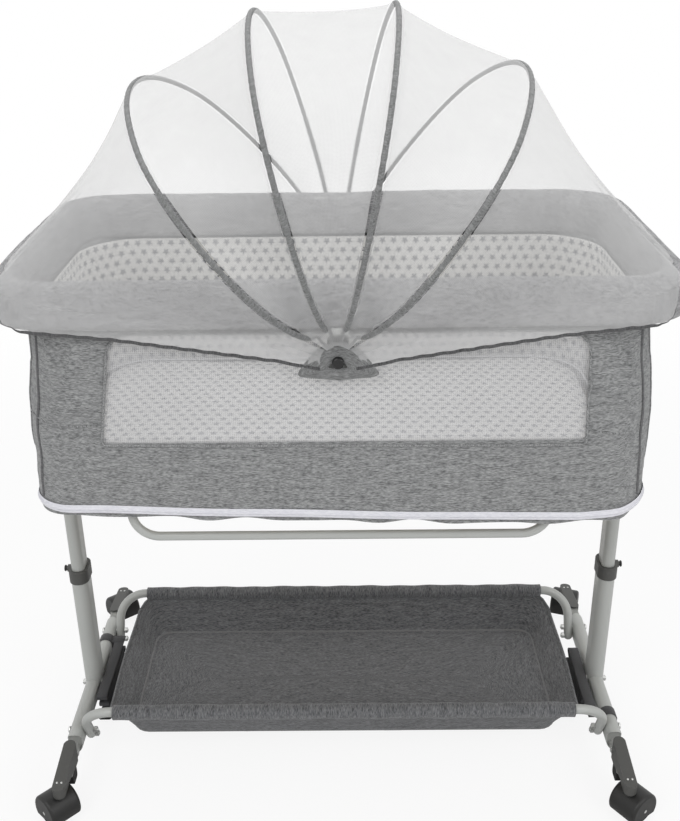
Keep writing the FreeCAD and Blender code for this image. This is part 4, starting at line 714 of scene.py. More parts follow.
def thicken(piece: bpy.types.Object, thickness: float, offset: float = 0.0) -> None:
    """Give cloth its thickness.

    Args:
        piece: A sheet with no thickness.
        thickness: In metres.
        offset: Which side grows, from -1 to 1.
    """
    solid = piece.modifiers.new("thickness", "SOLIDIFY")
    solid.thickness = thickness
    solid.offset = offset
    apply_modifiers(piece)


def rumple(points: Points, size: float, depth: float, seed: float) -> Points:
    """Move points by smooth noise.

    Args:
        points: Places, in metres, in any shape ending in 3.
        size: Width of a wrinkle, in metres.
        depth: Largest move, in metres.
        seed: Shifts the noise.

    Returns:
        The moved points.
    """
    flat = points.reshape(-1, 3)
    moves = np.array([
        noise.noise_vector(Vector(place) / size + Vector((seed, seed * 0.7, seed * 1.3)))
        for place in flat
    ])
    return (flat + moves * depth).reshape(points.shape)


def rounded_loop(
    half_x: float, half_y: float, radius: float, along_x: int, along_y: int, around: int
) -> Points:
    """Points round a rounded rectangle, counter-clockwise from the front's left end.

    Args:
        half_x: Half length, in metres.
        half_y: Half depth, in metres.
        radius: Corner radius, in metres.
        along_x: Steps on each long side.
        along_y: Steps on each short side.
        around: Steps on each corner.

    Returns:
        Array of X and Y.
    """
    inner_x, inner_y = half_x - radius, half_y - radius
    centres = ((inner_x, -inner_y), (inner_x, inner_y), (-inner_x, inner_y), (-inner_x, -inner_y))
    starts = ((-inner_x, -half_y), (half_x, -inner_y), (inner_x, half_y), (-half_x, inner_y))
    points = []
    for index, (centre, start) in enumerate(zip(centres, starts)):
        angle = math.radians(-90 + 90 * index)
        corner_start = np.array(centre) + radius * np.array([math.cos(angle), math.sin(angle)])
        steps = along_x if index % 2 == 0 else along_y
        for step in range(steps):
            points.append(np.array(start) + (corner_start - np.array(start)) * step / steps)
        for step in range(around):
            turn = angle + math.radians(90) * step / around
            points.append(np.array(centre) + radius * np.array([math.cos(turn), math.sin(turn)]))
    return np.array(points)


def tube_mesh(name: str, path: Points, radius: float | Points, sides: int = 10,
              closed: bool = False, flatten: float = 1.0) -> bpy.types.Mesh:
    """Build a round or flattened tube along a path.

    Args:
        name: The mesh's name.
        path: Array of places, in metres.
        radius: One radius, or one for each place.
        sides: Number of sides.
        closed: Whether the path is a loop.
        flatten: Height of the section as a share of its width.

    Returns:
        The mesh.
    """
    count = len(path)
    radii = np.broadcast_to(np.asarray(radius, float), (count,))
    ahead = np.roll(path, -1, axis=0) - np.roll(path, 1, axis=0)
    if not closed:
        ahead[0], ahead[-1] = path[1] - path[0], path[-1] - path[-2]
    ahead /= np.linalg.norm(ahead, axis=1)[:, None]
    side = np.cross(ahead[0], [0, 0, 1.0])
    if np.linalg.norm(side) < 0.1:
        side = np.cross(ahead[0], [0, 1.0, 0])
    rings = []
    for place, way, size in zip(path, ahead, radii):
        side = side - way * np.dot(side, way)
        side /= np.linalg.norm(side)
        up = np.cross(side, way)
        angles = np.arange(sides) * 2 * math.pi / sides
        rings.append(
            place + size * (np.outer(np.cos(angles), side) + flatten * np.outer(np.sin(angles), up))
        )
    mesh = grid_mesh(name, np.array(rings), loop_across=True, loop_along=closed)
    if not closed:
        close_holes(mesh)
    return mesh


def smooth_path(
    corners: list[tuple[float, float, float]], steps: int, loop: bool = False
) -> Points:
    """Draw a smooth line through places.

    Args:
        corners: Places, in metres.
        steps: Points from each place to the next.
        loop: Whether the line closes.

    Returns:
        Array of points.
    """
    places = np.array(corners, float)
    count = len(places)
    points = []
    for index in range(count if loop else count - 1):
        if loop:
            before, start, end, after = (places[(index + step) % count] for step in (-1, 0, 1, 2))
        else:
            start, end = places[index], places[index + 1]
            before = places[index - 1] if index else 2 * start - end
            after = places[index + 2] if index + 2 < count else 2 * end - start
        for step in range(steps):
            t = step / steps
            points.append(0.5 * (
                2 * start + (end - before) * t + (2 * before - 5 * start + 4 * end - after) * t ** 2
                + (3 * start - before - 3 * end + after) * t ** 3
            ))
    if not loop:
        points.append(places[-1])
    return np.array(points)


def dress(node: str, finish: Finish) -> None:
    """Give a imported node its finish."""
    piece = FRAME["nodes"][node]
    piece.data.materials.clear()
    piece.data.materials.append(PAINT.get(finish))


def settle(piece: bpy.types.Object, body: str, slot: str, *nodes: str) -> bpy.types.Object:
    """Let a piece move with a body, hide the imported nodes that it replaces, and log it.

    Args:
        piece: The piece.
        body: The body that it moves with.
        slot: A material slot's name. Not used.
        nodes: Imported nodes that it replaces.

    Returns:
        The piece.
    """
    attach(piece, body)
    if nodes:
        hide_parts(*nodes)
    log.info("%s: %d faces, on %s", piece.name, len(piece.data.polygons), body)
    return piece


# ------------------------------------------------------------------ stand


@dataclass
class Stand:
    """Two painted legs on feet, fold-up caster arms and the basket's tubes."""

    rivet_radius: float = 1.9
    rivet_y: float = 262.5
    rivet_half_gap: float = 3.6
    above_arm: float = 200.0

    def build(self) -> None:
        """Give the stand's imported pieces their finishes."""
        for side, _ in LEFT_RIGHT:
            for node in ("foot_tube", "outer_leg"):
                dress(f"{node}_{side}", Finish.STAND_PAINT)
            dress(f"leg_collar_{side}", Finish.DARK_PLASTIC)
            dress(f"height_button_{side}", Finish.BLACK_PLASTIC)
        for end, _ in FRONT_REAR:
            dress(f"basket_tube_{end}", Finish.STAND_PAINT)
        for corner in CORNERS:
            dress(f"caster_arm_{corner}", Finish.DARK_PLASTIC)
            dress(f"caster_hood_{corner}", Finish.BLACK_PLASTIC)
            dress(f"caster_wheels_{corner}", Finish.BLACK_PLASTIC)
            dress(f"caster_axle_{corner}", Finish.STEEL)
        dress("foot_caps", Finish.CAP_PLASTIC)
        dress("foot_pads", Finish.RUBBER)
        dress("arm_pins", Finish.STEEL)
        dress("frame_bolts", Finish.STEEL)
        dress("frame_nuts", Finish.STEEL)
        dress("strap_buckles", Finish.BLACK_PLASTIC)
        for end, end_sign in FRONT_REAR:
            for side, _ in LEFT_RIGHT:
                self.rivets(f"{end}_{side}", end_sign)

    def rivets(self, corner: str, end_sign: int) -> None:
        """Set two small bright rivet heads on top of a caster arm's outer end.

        Args:
            corner: The arm's corner.
            end_sign: -1 at the front, 1 at the rear.
        """
        low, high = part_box(f"caster_arm_{corner}")
        middle_x = (low[0] + high[0]) / 2
        arm = FRAME["nodes"][f"caster_arm_{corner}"]
        heads = []
        for way in (-1, 1):
            x = middle_x + way * self.rivet_half_gap * MM
            place = Vector((x, end_sign * self.rivet_y * MM, self.above_arm * MM))
            hit, spot, normal, _ = arm.ray_cast(place, Vector((0, 0, -1)))
            if not hit:
                log.info("no arm under rivet at %s", corner)
                continue
            heads.append(self.dome(spot, normal))
        mesh = bpy.data.meshes.new(f"arm_rivets_{corner}")
        join_meshes(mesh, heads)
        piece = make_object(f"arm_rivets_{corner}", mesh, Finish.STEEL)
        settle(piece, f"arm_{corner}", "zinc_steel")

    def dome(self, spot: Vector, normal: Vector) -> bpy.types.Mesh:
        """Draw one low domed rivet head.

        Args:
            spot: Where it sits.
            normal: The way that it faces.

        Returns:
            Its mesh.
        """
        turn = normal.to_track_quat("Z", "Y").to_matrix()
        radius = self.rivet_radius * MM
        rings = []
        for share, rise in ((1.0, -0.1), (1.0, 0.12), (0.85, 0.3), (0.5, 0.42), (0.12, 0.46)):
            ring = []
            for step in range(14):
                angle = step * 2 * math.pi / 14
                offset = Vector((math.cos(angle) * share, math.sin(angle) * share, rise))
                ring.append(spot + turn @ (offset * radius))
            rings.append(ring)
        mesh = grid_mesh("rivet", np.array(rings), loop_across=True)
        close_holes(mesh)
        return mesh


@dataclass
class Straps:
    """Two bed straps of grey webbing, each folded against its foot and held by a band."""

    width: float = 18.0
    thickness: float = 1.6
    outer_x: float = 434.5
    top_z: float = 76.0
    pitch: float = 9.0
    layers: int = 6
    foot_x: float = 452.0
    foot_z: float = 63.0
    foot_width: float = 24.0
    foot_height: float = 38.0
    band_width: float = 20.0
    band_y: dict[str, float] = field(default_factory=lambda: {"left": 101.0, "right": -112.0})
    near_y: dict[str, float] = field(default_factory=lambda: {"left": 92.0, "right": -64.0})
    far_y: dict[str, float] = field(default_factory=lambda: {"left": -56.0, "right": 62.0})

    def build(self) -> None:
        """Build both straps."""
        for side, sign in LEFT_RIGHT:
            self.bundle(side, sign)

    def ribbon(self, name: str, path: Points, way: Points, width: float) -> bpy.types.Mesh:
        """Sweep webbing along a path.

        Args:
            name: The mesh's name.
            path: Places along its middle, in mm.
            way: The way across it.
            width: Its width, in mm.

        Returns:
            The mesh.
        """
        ahead = np.gradient(path, axis=0)
        ahead /= np.linalg.norm(ahead, axis=1)[:, None]
        across = np.broadcast_to(np.asarray(way, float), path.shape)
        out = np.cross(ahead, across)
        rings = []
        half, deep = width / 2, self.thickness / 2
        for share, depth in ((-1, 0.4), (-0.94, 1), (0, 1), (0.94, 1), (1, 0.4), (1, -0.4),
                             (0.94, -1), (0, -1), (-0.94, -1), (-1, -0.4)):
            rings.append(path + across * half * share + out * deep * depth)
        points = np.array(rings).transpose(1, 0, 2) * MM
        mesh = grid_mesh(name, points, loop_across=True)
        layer = mesh.uv_layers[0].data
        for index, item in enumerate(layer):
            layer[index].uv = (item.uv[1], item.uv[0])
        return mesh

    def bundle(self, side: str, sign: int) -> None:
        """Build one strap: its folds, the tab to the foot and the band round it.

        Args:
            side: "left" or "right".
            sign: -1 or 1.
        """
        x = sign * (self.outer_x - self.width / 2)
        near, far = self.near_y[side], self.far_y[side]
        forward = math.copysign(1.0, far - near)
        path = [(x, self.band_y[side], self.top_z + 0.5), (x, near - forward * 2, self.top_z)]
        z = self.top_z
        start, end = near, far
        for layer in range(self.layers):
            way = math.copysign(1.0, end - start)
            slack = 5.0 * ((layer * 37) % 5) / 4
            stop = end - way * slack
            lean = 1.6 * math.sin(2.1 * layer + sign)
            for share in (0.15, 0.5, 0.85):
                sag = 1.2 * math.sin(math.pi * share) * math.sin(1.7 * layer + 1)
                path.append((x + lean * share, start + (stop - start) * share, z - sag))
            if layer < self.layers - 1:
                for turn in (-60, 0, 60):
                    angle = math.radians(turn)
                    path.append((
                        x + lean, stop + way * self.pitch / 2 * math.cos(angle),
                        z - self.pitch / 2 - self.pitch / 2 * math.sin(angle),
                    ))
            start, end = end, start
            z -= self.pitch
        line = smooth_path(path, 5)
        strap = self.ribbon(f"webbing_strap_{side}", line, (1, 0, 0), self.width)
        self.add_band(strap, side, sign)
        piece = make_object(f"webbing_strap_{side}", strap, Finish.STRAP)
        settle(piece, "stand", "webbing", f"strap_{side}")

    def add_band(self, strap: bpy.types.Mesh, side: str, sign: int) -> None:
        """Join the band round the foot tube and the tab that hangs from it to a strap's mesh.

        Args:
            strap: The strap's mesh.
            side: "left" or "right".
            sign: -1 or 1.
        """
        half = self.foot_width / 2 + 0.9
        straight = (self.foot_height - self.foot_width) / 2
        ring = []
        for step in range(37):
            angle = step * 2 * math.pi / 36
            rise = straight * (1 if math.sin(angle) > 0 else -1) if step % 18 else 0
            ring.append((
                sign * self.foot_x + half * math.cos(angle), self.band_y[side],
                self.foot_z + rise + half * math.sin(angle),
            ))
        band = self.ribbon("band", np.array(ring), (0, 1, 0), self.band_width)
        tab_x = sign * (self.outer_x - self.width / 2)
        tab_line = smooth_path([
            (sign * (self.foot_x - half), self.band_y[side], self.top_z + 1),
            (sign * (self.outer_x - 1), self.band_y[side], self.top_z + 0.6),
            (tab_x - sign * self.width / 2, self.band_y[side], self.top_z),
        ], 4)
        tab = self.ribbon("tab", tab_line, (0, 1, 0), self.band_width)
        join_meshes(strap, [strap, band, tab])


@dataclass
class Basket:
    """The storage basket: grey cloth hung from two tubes, its end walls falling slack."""

    sleeve_half_length: float = 379.0
    sleeve_radius: float = 11.0
    tube_y: float = 168.0
    tube_z: float = 134.0
    mouth: tuple[float, float] = (388.0, 165.6)
    floor: tuple[float, float] = (358.0, 135.0)
    floor_z: float = 65.0
    wall_top: float = 127.0
    corner: float = 28.0
    end_low: float = 104.0
    sag: float = 3.0
    cloth: float = 2.0
    steps: tuple[int, int, int] = (56, 26, 5)
    # The floor's rings of faces leave a gap down its middle, narrower than this either way.
    slit: float = 20.0
    # The cut, in metres: the floor with its four walls turned out flat.
    cut: tuple[float, float] = (0.83, 0.41)
    cut_area: float = 0.329

    def build(self) -> None:
        """Build the basket's cloth, its sleeves and its piping."""
        basket = self.bag()
        settle(basket, "stand", "basket_cloth", "storage_basket")
        sleeves = [self.sleeve(end, sign) for end, sign in FRONT_REAR]
        piping = [self.floor_piping()] + [self.end_piping(side, sign) for side, sign in LEFT_RIGHT]
        for piece in sleeves + piping:
            settle(piece, "stand", "basket_cloth")

    def wall_loop(self, share: float) -> Points:
        """Points of one level of the walls, in mm.

        Args:
            share: 0 at the mouth and 1 at the floor.

        Returns:
            Array of X, Y and Z.
        """
        ease = share ** 0.85
        half_x = self.mouth[0] + (self.floor[0] - self.mouth[0]) * ease
        half_y = self.mouth[1] + (self.floor[1] - self.mouth[1]) * ease
        loop = rounded_loop(half_x, half_y, self.corner, *self.steps)
        z = np.empty(len(loop))
        for index, (x, y) in enumerate(loop):
            end = max(0.0, (abs(x) - (half_x - 30)) / 30)
            inward = min(abs(y) / half_y, 1.0)
            top = self.wall_top - end * (self.wall_top - self.end_low) * (1 - inward ** 4)
            z[index] = top + (self.floor_z - top) * share
        bulge = math.sin(math.pi * share)
        out = loop.copy()
        for index, (x, y) in enumerate(loop):
            wave = math.sin(x / 43.0 + 1.1 * math.copysign(1, y)) * math.sin(x / 97.0 + 0.6)
            side = abs(y) > half_y - 20
            if side:
                out[index, 1] += math.copysign(bulge * (1.4 + 1.6 * wave), -y)
            else:
                flop = math.sin(y / 31.0 + math.copysign(0.8, x)) * math.sin(y / 77.0)
                lean = 9.0 * (1 - share) ** 2 * (1 - (y / half_y) ** 2)
                out[index, 0] += math.copysign(bulge * 3.5 * flop + lean, x)
        return np.column_stack([out, z])

    def bag(self) -> bpy.types.Object:
        """Build the walls and the sagging floor as one sheet."""
        rows = [self.wall_loop(share) for share in np.linspace(0, 1, 15)]
        inner_y = self.floor[1]
        for share in np.linspace(0.12, 0.97, 9):
            half_x = self.floor[0] - inner_y * share
            half_y = inner_y * (1 - share)
            radius = max(self.corner * (1 - share), 1.0)
            loop = rounded_loop(half_x, half_y, min(radius, half_y * 0.98), *self.steps)
            dip = np.array([
                self.sag * math.sin(math.pi * min(share, 0.5)) * (1 - (x / self.floor[0]) ** 4)
                + 1.3 * math.sin(x / 61.0 + y / 90.0) * share
                for x, y in loop
            ])
            rows.append(np.column_stack([loop, self.floor_z - dip + 1.5]))
        points = np.array(rows)
        points = rumple(points, 60, 1.3, 4.0)
        points = rumple(points, 21, 0.5, 9.0)
        mesh = grid_mesh("basket_cloth", points * MM, loop_across=True)
        close_holes(mesh, reach=self.slit * MM)
        piece = make_object("basket_cloth", mesh, Finish.BASKET_CLOTH)
        thicken(piece, self.cloth * MM, -1.0)
        for polygon in piece.data.polygons:
            polygon.use_smooth = True
        return piece

    def sleeve(self, end: str, sign: int) -> bpy.types.Object:
        """Build the sleeve on one tube.

        Args:
            end: "front" or "rear".
            sign: -1 or 1.

        Returns:
            The sleeve.
        """
        xs = np.linspace(-self.sleeve_half_length, self.sleeve_half_length, 120)
        rings = []
        for x in xs:
            ring = []
            for step in range(18):
                angle = step * 2 * math.pi / 18
                pucker = 0.5 * math.sin(x / 9.0 + 2 * angle) + 0.4 * math.sin(x / 23.0)
                radius = self.sleeve_radius + pucker + 0.6
                drop = -3.2 * max(0.0, -math.sin(angle)) ** 3
                ring.append((
                    x, sign * self.tube_y + radius * math.cos(angle),
                    self.tube_z + radius * math.sin(angle) + drop,
                ))
            rings.append(ring)
        mesh = grid_mesh(f"basket_sleeve_{end}", np.array(rings) * MM, loop_across=True)
        piece = make_object(f"basket_sleeve_{end}", mesh, Finish.BASKET_CLOTH)
        thicken(piece, 1.2 * MM, -1.0)
        return piece

    def floor_piping(self) -> bpy.types.Object:
        """Build the piping round the floor."""
        path = self.wall_loop(1.0)
        path[:, :2] *= 1.002
        mesh = tube_mesh("basket_floor_piping", path * MM, 2.1 * MM, 8, closed=True)
        return make_object("basket_floor_piping", mesh, Finish.PIPING)

    def end_piping(self, side: str, sign: int) -> bpy.types.Object:
        """Build the bound edge along the top of one end wall.

        Args:
            side: "left" or "right".
            sign: -1 or 1.

        Returns:
            The binding.
        """
        loop = self.wall_loop(0.0)
        edge = loop[(loop[:, 0] * sign > self.mouth[0] - 45)]
        edge = edge[np.argsort(edge[:, 1])]
        mesh = tube_mesh(f"basket_end_binding_{side}", edge * MM, 2.4 * MM, 8)
        return make_object(f"basket_end_binding_{side}", mesh, Finish.BASKET_CLOTH)


# ------------------------------------------------------------------ cradle


@dataclass
class Rim:
    """The padded rim over the top rail: a plump skirted cover with piping and creases."""

    outer: tuple[float, float, float] = (466.0, 247.5, 90.0)
    mouth: tuple[float, float, float] = (429.0, 222.0, 76.0)
    steps: tuple[int, int, int] = (110, 46, 22)
    cloth: float = 2.4
    # The cover's section: share of the way from the outer edge to the mouth, and height.
    profile: tuple[tuple[float, float], ...] = (
        (0.02, 833.0), (-0.03, 839.0), (-0.05, 848.0), (-0.06, 858.0), (-0.03, 869.0),
        (0.03, 879.0), (0.13, 887.0), (0.28, 892.0), (0.44, 893.0), (0.6, 890.5),
        (0.76, 885.5), (0.9, 877.0), (0.99, 866.0), (1.02, 854.0), (1.02, 844.0),
        (1.0, 836.0), (0.99, 828.0),
    )
    piping_z: tuple[float, float] = (833.5, 828.8)
    snap_place: tuple[float, float, float] = (-2.0, -249.6, 861.0)
    # The snap's section: radius and how far it stands out.
    snap_section: tuple[tuple[float, float], ...] = (
        (7.0, 0.0), (6.2, 1.3), (4.6, 1.5), (3.4, 0.6), (1.5, 0.3), (0.2, 0.3),
    )

    def build(self) -> None:
        """Build the cover, its piping and the snap's mark."""
        cover = self.cover()
        settle(cover, "cradle", "rim_cloth", "rail_cover")
        lower = self.edge_piping("rim_skirt_piping", 0.0, self.piping_z[0])
        inner = self.edge_piping("rim_mouth_piping", 1.0, self.piping_z[1])
        for piece in (lower, inner):
            settle(piece, "cradle", "rim_cloth")
        settle(self.snap(), "cradle", "rim_cloth")

    def loops(self) -> tuple[Points, Points]:
        """Return the outer and the mouth's outline, in mm."""
        return rounded_loop(*self.outer, *self.steps), rounded_loop(*self.mouth, *self.steps)

    def cover(self) -> bpy.types.Object:
        """Build the cover from its section, plumper at the two ends."""
        outside, inside = self.loops()
        rows = []
        for share, z in self.profile:
            flat = outside + (inside - outside) * share
            end = np.clip((np.abs(flat[:, 0]) - 300) / 150, 0, 1) ** 2
            lift = -1.0 * end
            rows.append(np.column_stack([flat, z + lift]))
        points = rumple(np.array(rows), 95, 1.8, 1.0)
        points = rumple(points, 30, 0.7, 6.0)
        piece = make_object("rim_cover", grid_mesh("rim_cover", points * MM, loop_across=True),
                            Finish.RIM_CLOTH)
        thicken(piece, self.cloth * MM, 1.0)
        return piece

    def edge_piping(self, name: str, share: float, z: float) -> bpy.types.Object:
        """Build the piping on one of the cover's free edges.

        Args:
            name: The piece's name.
            share: 0 for the outer edge and 1 for the mouth's.
            z: Its height, in mm.

        Returns:
            The piping.
        """
        outside, inside = self.loops()
        flat = outside + (inside - outside) * share
        path = np.column_stack([flat, np.full(len(flat), z)])
        path = rumple(path, 95, 1.8, 1.0)
        return make_object(name, tube_mesh(name, path * MM, 1.7 * MM, 8, closed=True),
                           Finish.PIPING)

    def snap(self) -> bpy.types.Object:
        """Build the sewn-in snap on the front of the rim: a small dished disc of cloth."""
        x, y, z = self.snap_place
        rings = []
        for radius, depth in self.snap_section:
            rings.append([
                (x + radius * math.cos(step * math.pi / 12), y - depth,
                 z + radius * math.sin(step * math.pi / 12))
                for step in range(24)
            ])
        mesh = grid_mesh("rim_snap", np.array(rings) * MM, loop_across=True)
        return make_object("rim_snap", mesh, Finish.PIPING)


@dataclass
class Window:
    """The front window's outline, in mm."""

    left: tuple[float, float] = (-304.0, -322.0)
    right: tuple[float, float] = (329.0, 334.0)
    low: float = 664.0
    high: float = 822.0
    low_corner: float = 5.0
    high_corner: float = 34.0

    def outline(self, grow: float = 0.0, steps: int = 12) -> Points:
        """Return the outline's X and Z.

        Args:
            grow: How much larger than the window.
            steps: Points on each corner.

        Returns:
            Array of X and Z, counter-clockwise.
        """
        low, high = self.low - grow, self.high + grow
        corners = (
            (self.right[1] + grow, low, self.low_corner, -90),
            (self.right[0] + grow, high, self.high_corner, 0),
            (self.left[0] - grow, high, self.high_corner, 90),
            (self.left[1] - grow, low, self.low_corner, 180),
        )
        points = []
        for x, z, radius, start in corners:
            centre_x = x - math.copysign(radius + grow, x)
            centre_z = z + (radius + grow if start in (-90, 180) else -(radius + grow))
            for step in range(steps + 1):
                angle = math.radians(start + 90 * step / steps)
                points.append((
                    centre_x + (radius + grow) * math.cos(angle),
                    centre_z + (radius + grow) * math.sin(angle),
                ))
        return np.array(points)


@dataclass
class Body:
    """The bassinet's cloth wall: front window, seamed corners and a lower band."""

    half: tuple[float, float] = (436.5, 240.5)
    # The corner radius under the rim and at the foot.
    corners: tuple[float, float] = (114.0, 62.0)
    top_inset: float = 3.5
    # How far the foot of the wall hangs at places along the front.
    sag_x: tuple[float, ...] = (-436.0, -330.0, -265.0, -143.0, 0.0, 244.0, 335.0, 396.0, 436.0)
    sag_z: tuple[float, ...] = (0.0, -1.0, -3.0, -8.0, -12.0, -18.0, -18.0, -12.0, -3.0)
    steps: tuple[int, int, int] = (108, 40, 30)
    top: float = 828.0
    low: float = 556.0
    hem: float = 549.5
    cloth: float = 1.8
    seam_z: dict[str, float] = field(default_factory=lambda: {"left": 692.0, "right": 684.0})
    window: Window = field(default_factory=Window)
    tape: tuple[float, float] = (556.5, 569.0)
    zip_turn: float = 50.0
    # The cuts, in metres: the way round by the height, the wall's less its window.
    cut: tuple[float, float] = (2.55, 0.272)
    cut_area: float = 0.592
    net_cut: tuple[float, float] = (0.68, 0.18)
    hem_cut: tuple[float, float] = (2.60, 0.0155)
    # Pulls in the cloth: from X and Z to X and Z, then how high each is and how wide.
    creases: tuple[tuple[float, ...], ...] = (
        (-326.0, 728.0, -412.0, 690.0, 8.5, 10.0),
        (-340.0, 810.0, -366.0, 742.0, 5.5, 8.0),
        (-398.0, 810.0, -380.0, 722.0, 5.0, 7.0),
        (-352.0, 700.0, -366.0, 668.0, 3.5, 8.0),
        (330.0, 752.0, 418.0, 700.0, 7.5, 10.0),
        (342.0, 812.0, 402.0, 752.0, 6.0, 8.0),
        (402.0, 800.0, 380.0, 712.0, 5.0, 7.0),
    )

    def build(self) -> None:
        """Build the wall, its seams, the window's net and the tape round its foot."""
        wall = self.wall()
        settle(wall, "cradle", "body_cloth", "side_fabric")
        seams = self.seams() + [self.window_binding()]
        for piece in seams:
            settle(piece, "cradle", "body_cloth")
        net = self.window_net()
        settle(net, "cradle", "white_mesh", "mesh_window")
        hem = self.skirt()
        settle(hem, "cradle", "body_cloth")
        settle(self.zip_tape(), "cradle", "zip_white", "zip_tape")
        zips = [self.corner_zip(side, sign) for side, sign in LEFT_RIGHT]
        settle(zips[0], "cradle", "zip_dark", "drop_side_zips")
        settle(zips[1], "cradle", "zip_dark")

    def corner(self, z: float) -> float:
        """Return the wall's corner radius at a height: rounder under the rim than at the foot."""
        down = min(max((self.top - z) / (self.top - self.low), 0.0), 1.0)
        return self.corners[0] + (self.corners[1] - self.corners[0]) * down

    def half_at(self, z: float) -> tuple[float, float]:
        """Return the wall's half length and half depth at a height."""
        half_x, half_y = self.half
        return half_x - self.top_inset * (z - self.low) / (self.top - self.low), half_y

    def loop(self, z: float, grow: float = 0.0) -> Points:
        """Return the wall's outline in plan, in mm.

        Args:
            z: The height it is taken at.
            grow: How far outside the wall.

        Returns:
            Array of X and Y.
        """
        half_x, half_y = self.half_at(z)
        return rounded_loop(half_x + grow, half_y + grow, self.corner(z) + grow, *self.steps)

    def sag(self, x: float, y: float) -> float:
        """Return how far the foot of the wall hangs, in mm: most on the front, by the right."""
        front = min(max((160.0 - y) / 380.0, 0.0), 1.0)
        return front * float(np.interp(x, self.sag_x, self.sag_z))

    def wander(self, points: Points) -> Points:
        """Give cloth its slight billows and the pulls at its corners.

        Args:
            points: Places, in mm.

        Returns:
            The moved places.
        """
        moved = points.copy()
        flat = moved.reshape(-1, 3)
        for place in flat:
            x, y, z = place
            down = (self.top - z) / (self.top - self.low)
            hold = math.sin(math.pi * min(max(down, 0.0), 1.0)) ** 0.7
            end = min(max((abs(x) - 330) / 90, 0.0), 1.0)
            wave = noise.noise(Vector((x / 120, y / 120, z / 52)) + Vector((3, 1, 7)))
            fold = noise.noise(Vector((x / 26 + z / 60, y / 26, z / 90)))
            out = hold * ((1.2 + 5.0 * end) * wave + (0.7 + 2.2 * end) * fold)
            waist = 3.4 * math.cos((z - 648) / 60.0)
            low_band = min(max((676 - z) / 30, 0.0), 1.0) * hold * (1 - end)
            out += low_band * 2.4 * noise.noise(Vector((x / 34, y / 34, z / 130)))
            out += end * hold * (waist - 1.6) + self.pulls(x, y, z)
            place[2] += self.sag(x, y) * min(max(down, 0.0), 1.0) ** 2.5
            length = math.hypot(x * 0.55, y)
            place[0] += out * x * 0.55 / length
            place[1] += out * y / length
        return moved

    def pulls(self, x: float, y: float, z: float) -> float:
        """Return how far the slanting pulls on the corner panels lift the cloth.

        Args:
            x: Place along the crib, in mm.
            y: Place across it, in mm.
            z: Height, in mm.

        Returns:
            The lift, in mm.
        """
        if y > 0:
            return 0.0
        round_corner = abs(x) + 0.6 * (y + 240.5)
        lift = 0.0
        for near, near_z, far, far_z, size, width in self.creases:
            if near * x < 0:
                continue
            start = np.array([abs(near), near_z])
            run = np.array([abs(far), far_z]) - start
            along = float(np.dot(np.array([round_corner, z]) - start, run) / np.dot(run, run))
            if not -0.15 < along < 1.15:
                continue
            foot = start + run * min(max(along, 0.0), 1.0)
            gap = math.hypot(round_corner - foot[0], z - foot[1])
            fade = min(1.0, (1.15 - along) / 0.3, (along + 0.15) / 0.3)
            lift += size * fade * math.exp(-(gap / width) ** 2)
        return lift

    def wall(self) -> bpy.types.Object:
        """Build the wall with the window cut in it."""
        heights = np.linspace(self.top, self.low, 64)
        points = np.array([
            np.column_stack([loop, np.full(len(loop), z)])
            for z, loop in ((z, self.loop(z)) for z in heights)
        ])
        points = self.wander(points)
        mesh = grid_mesh("body_wall", points * MM, loop_across=True)
        piece = make_object("body_wall", mesh, Finish.BODY_CLOTH)
        thicken(piece, self.cloth * MM, 1.0)
        cutter = self.window_cutter()
        cut = piece.modifiers.new("window", "BOOLEAN")
        cut.operation = "DIFFERENCE"
        cut.solver = "EXACT"
        cut.object = cutter
        apply_modifiers(piece)
        bpy.data.objects.remove(cutter)
        for polygon in piece.data.polygons:
            polygon.use_smooth = True
        return piece

    def window_cutter(self) -> bpy.types.Object:
        """Build the block that cuts the window."""
        outline = self.window.outline()
        rings = [
            [(x * MM, y * MM, z * MM) for x, z in outline] for y in (-290.0, -200.0)
        ]
        mesh = grid_mesh("window_cutter", np.array(rings), loop_across=True)
        close_holes(mesh, outward=True)
        return make_object("window_cutter", mesh)

    def window_binding(self) -> bpy.types.Object:
        """Build the turned edge that frames the window."""
        outline = self.window.outline(grow=1.5, steps=16)
        fine = []
        for index in range(len(outline)):
            start, end = outline[index], outline[(index + 1) % len(outline)]
            count = max(1, int(np.linalg.norm(end - start) / 8))
            fine += [start + (end - start) * step / count for step in range(count)]
        path = np.array([(x, -self.half[1] - 0.9, z) for x, z in fine])
        mesh = tube_mesh("window_binding", self.wander(path) * MM, 1.8 * MM, 8, closed=True)
        return make_object("window_binding", mesh, Finish.BODY_CLOTH)

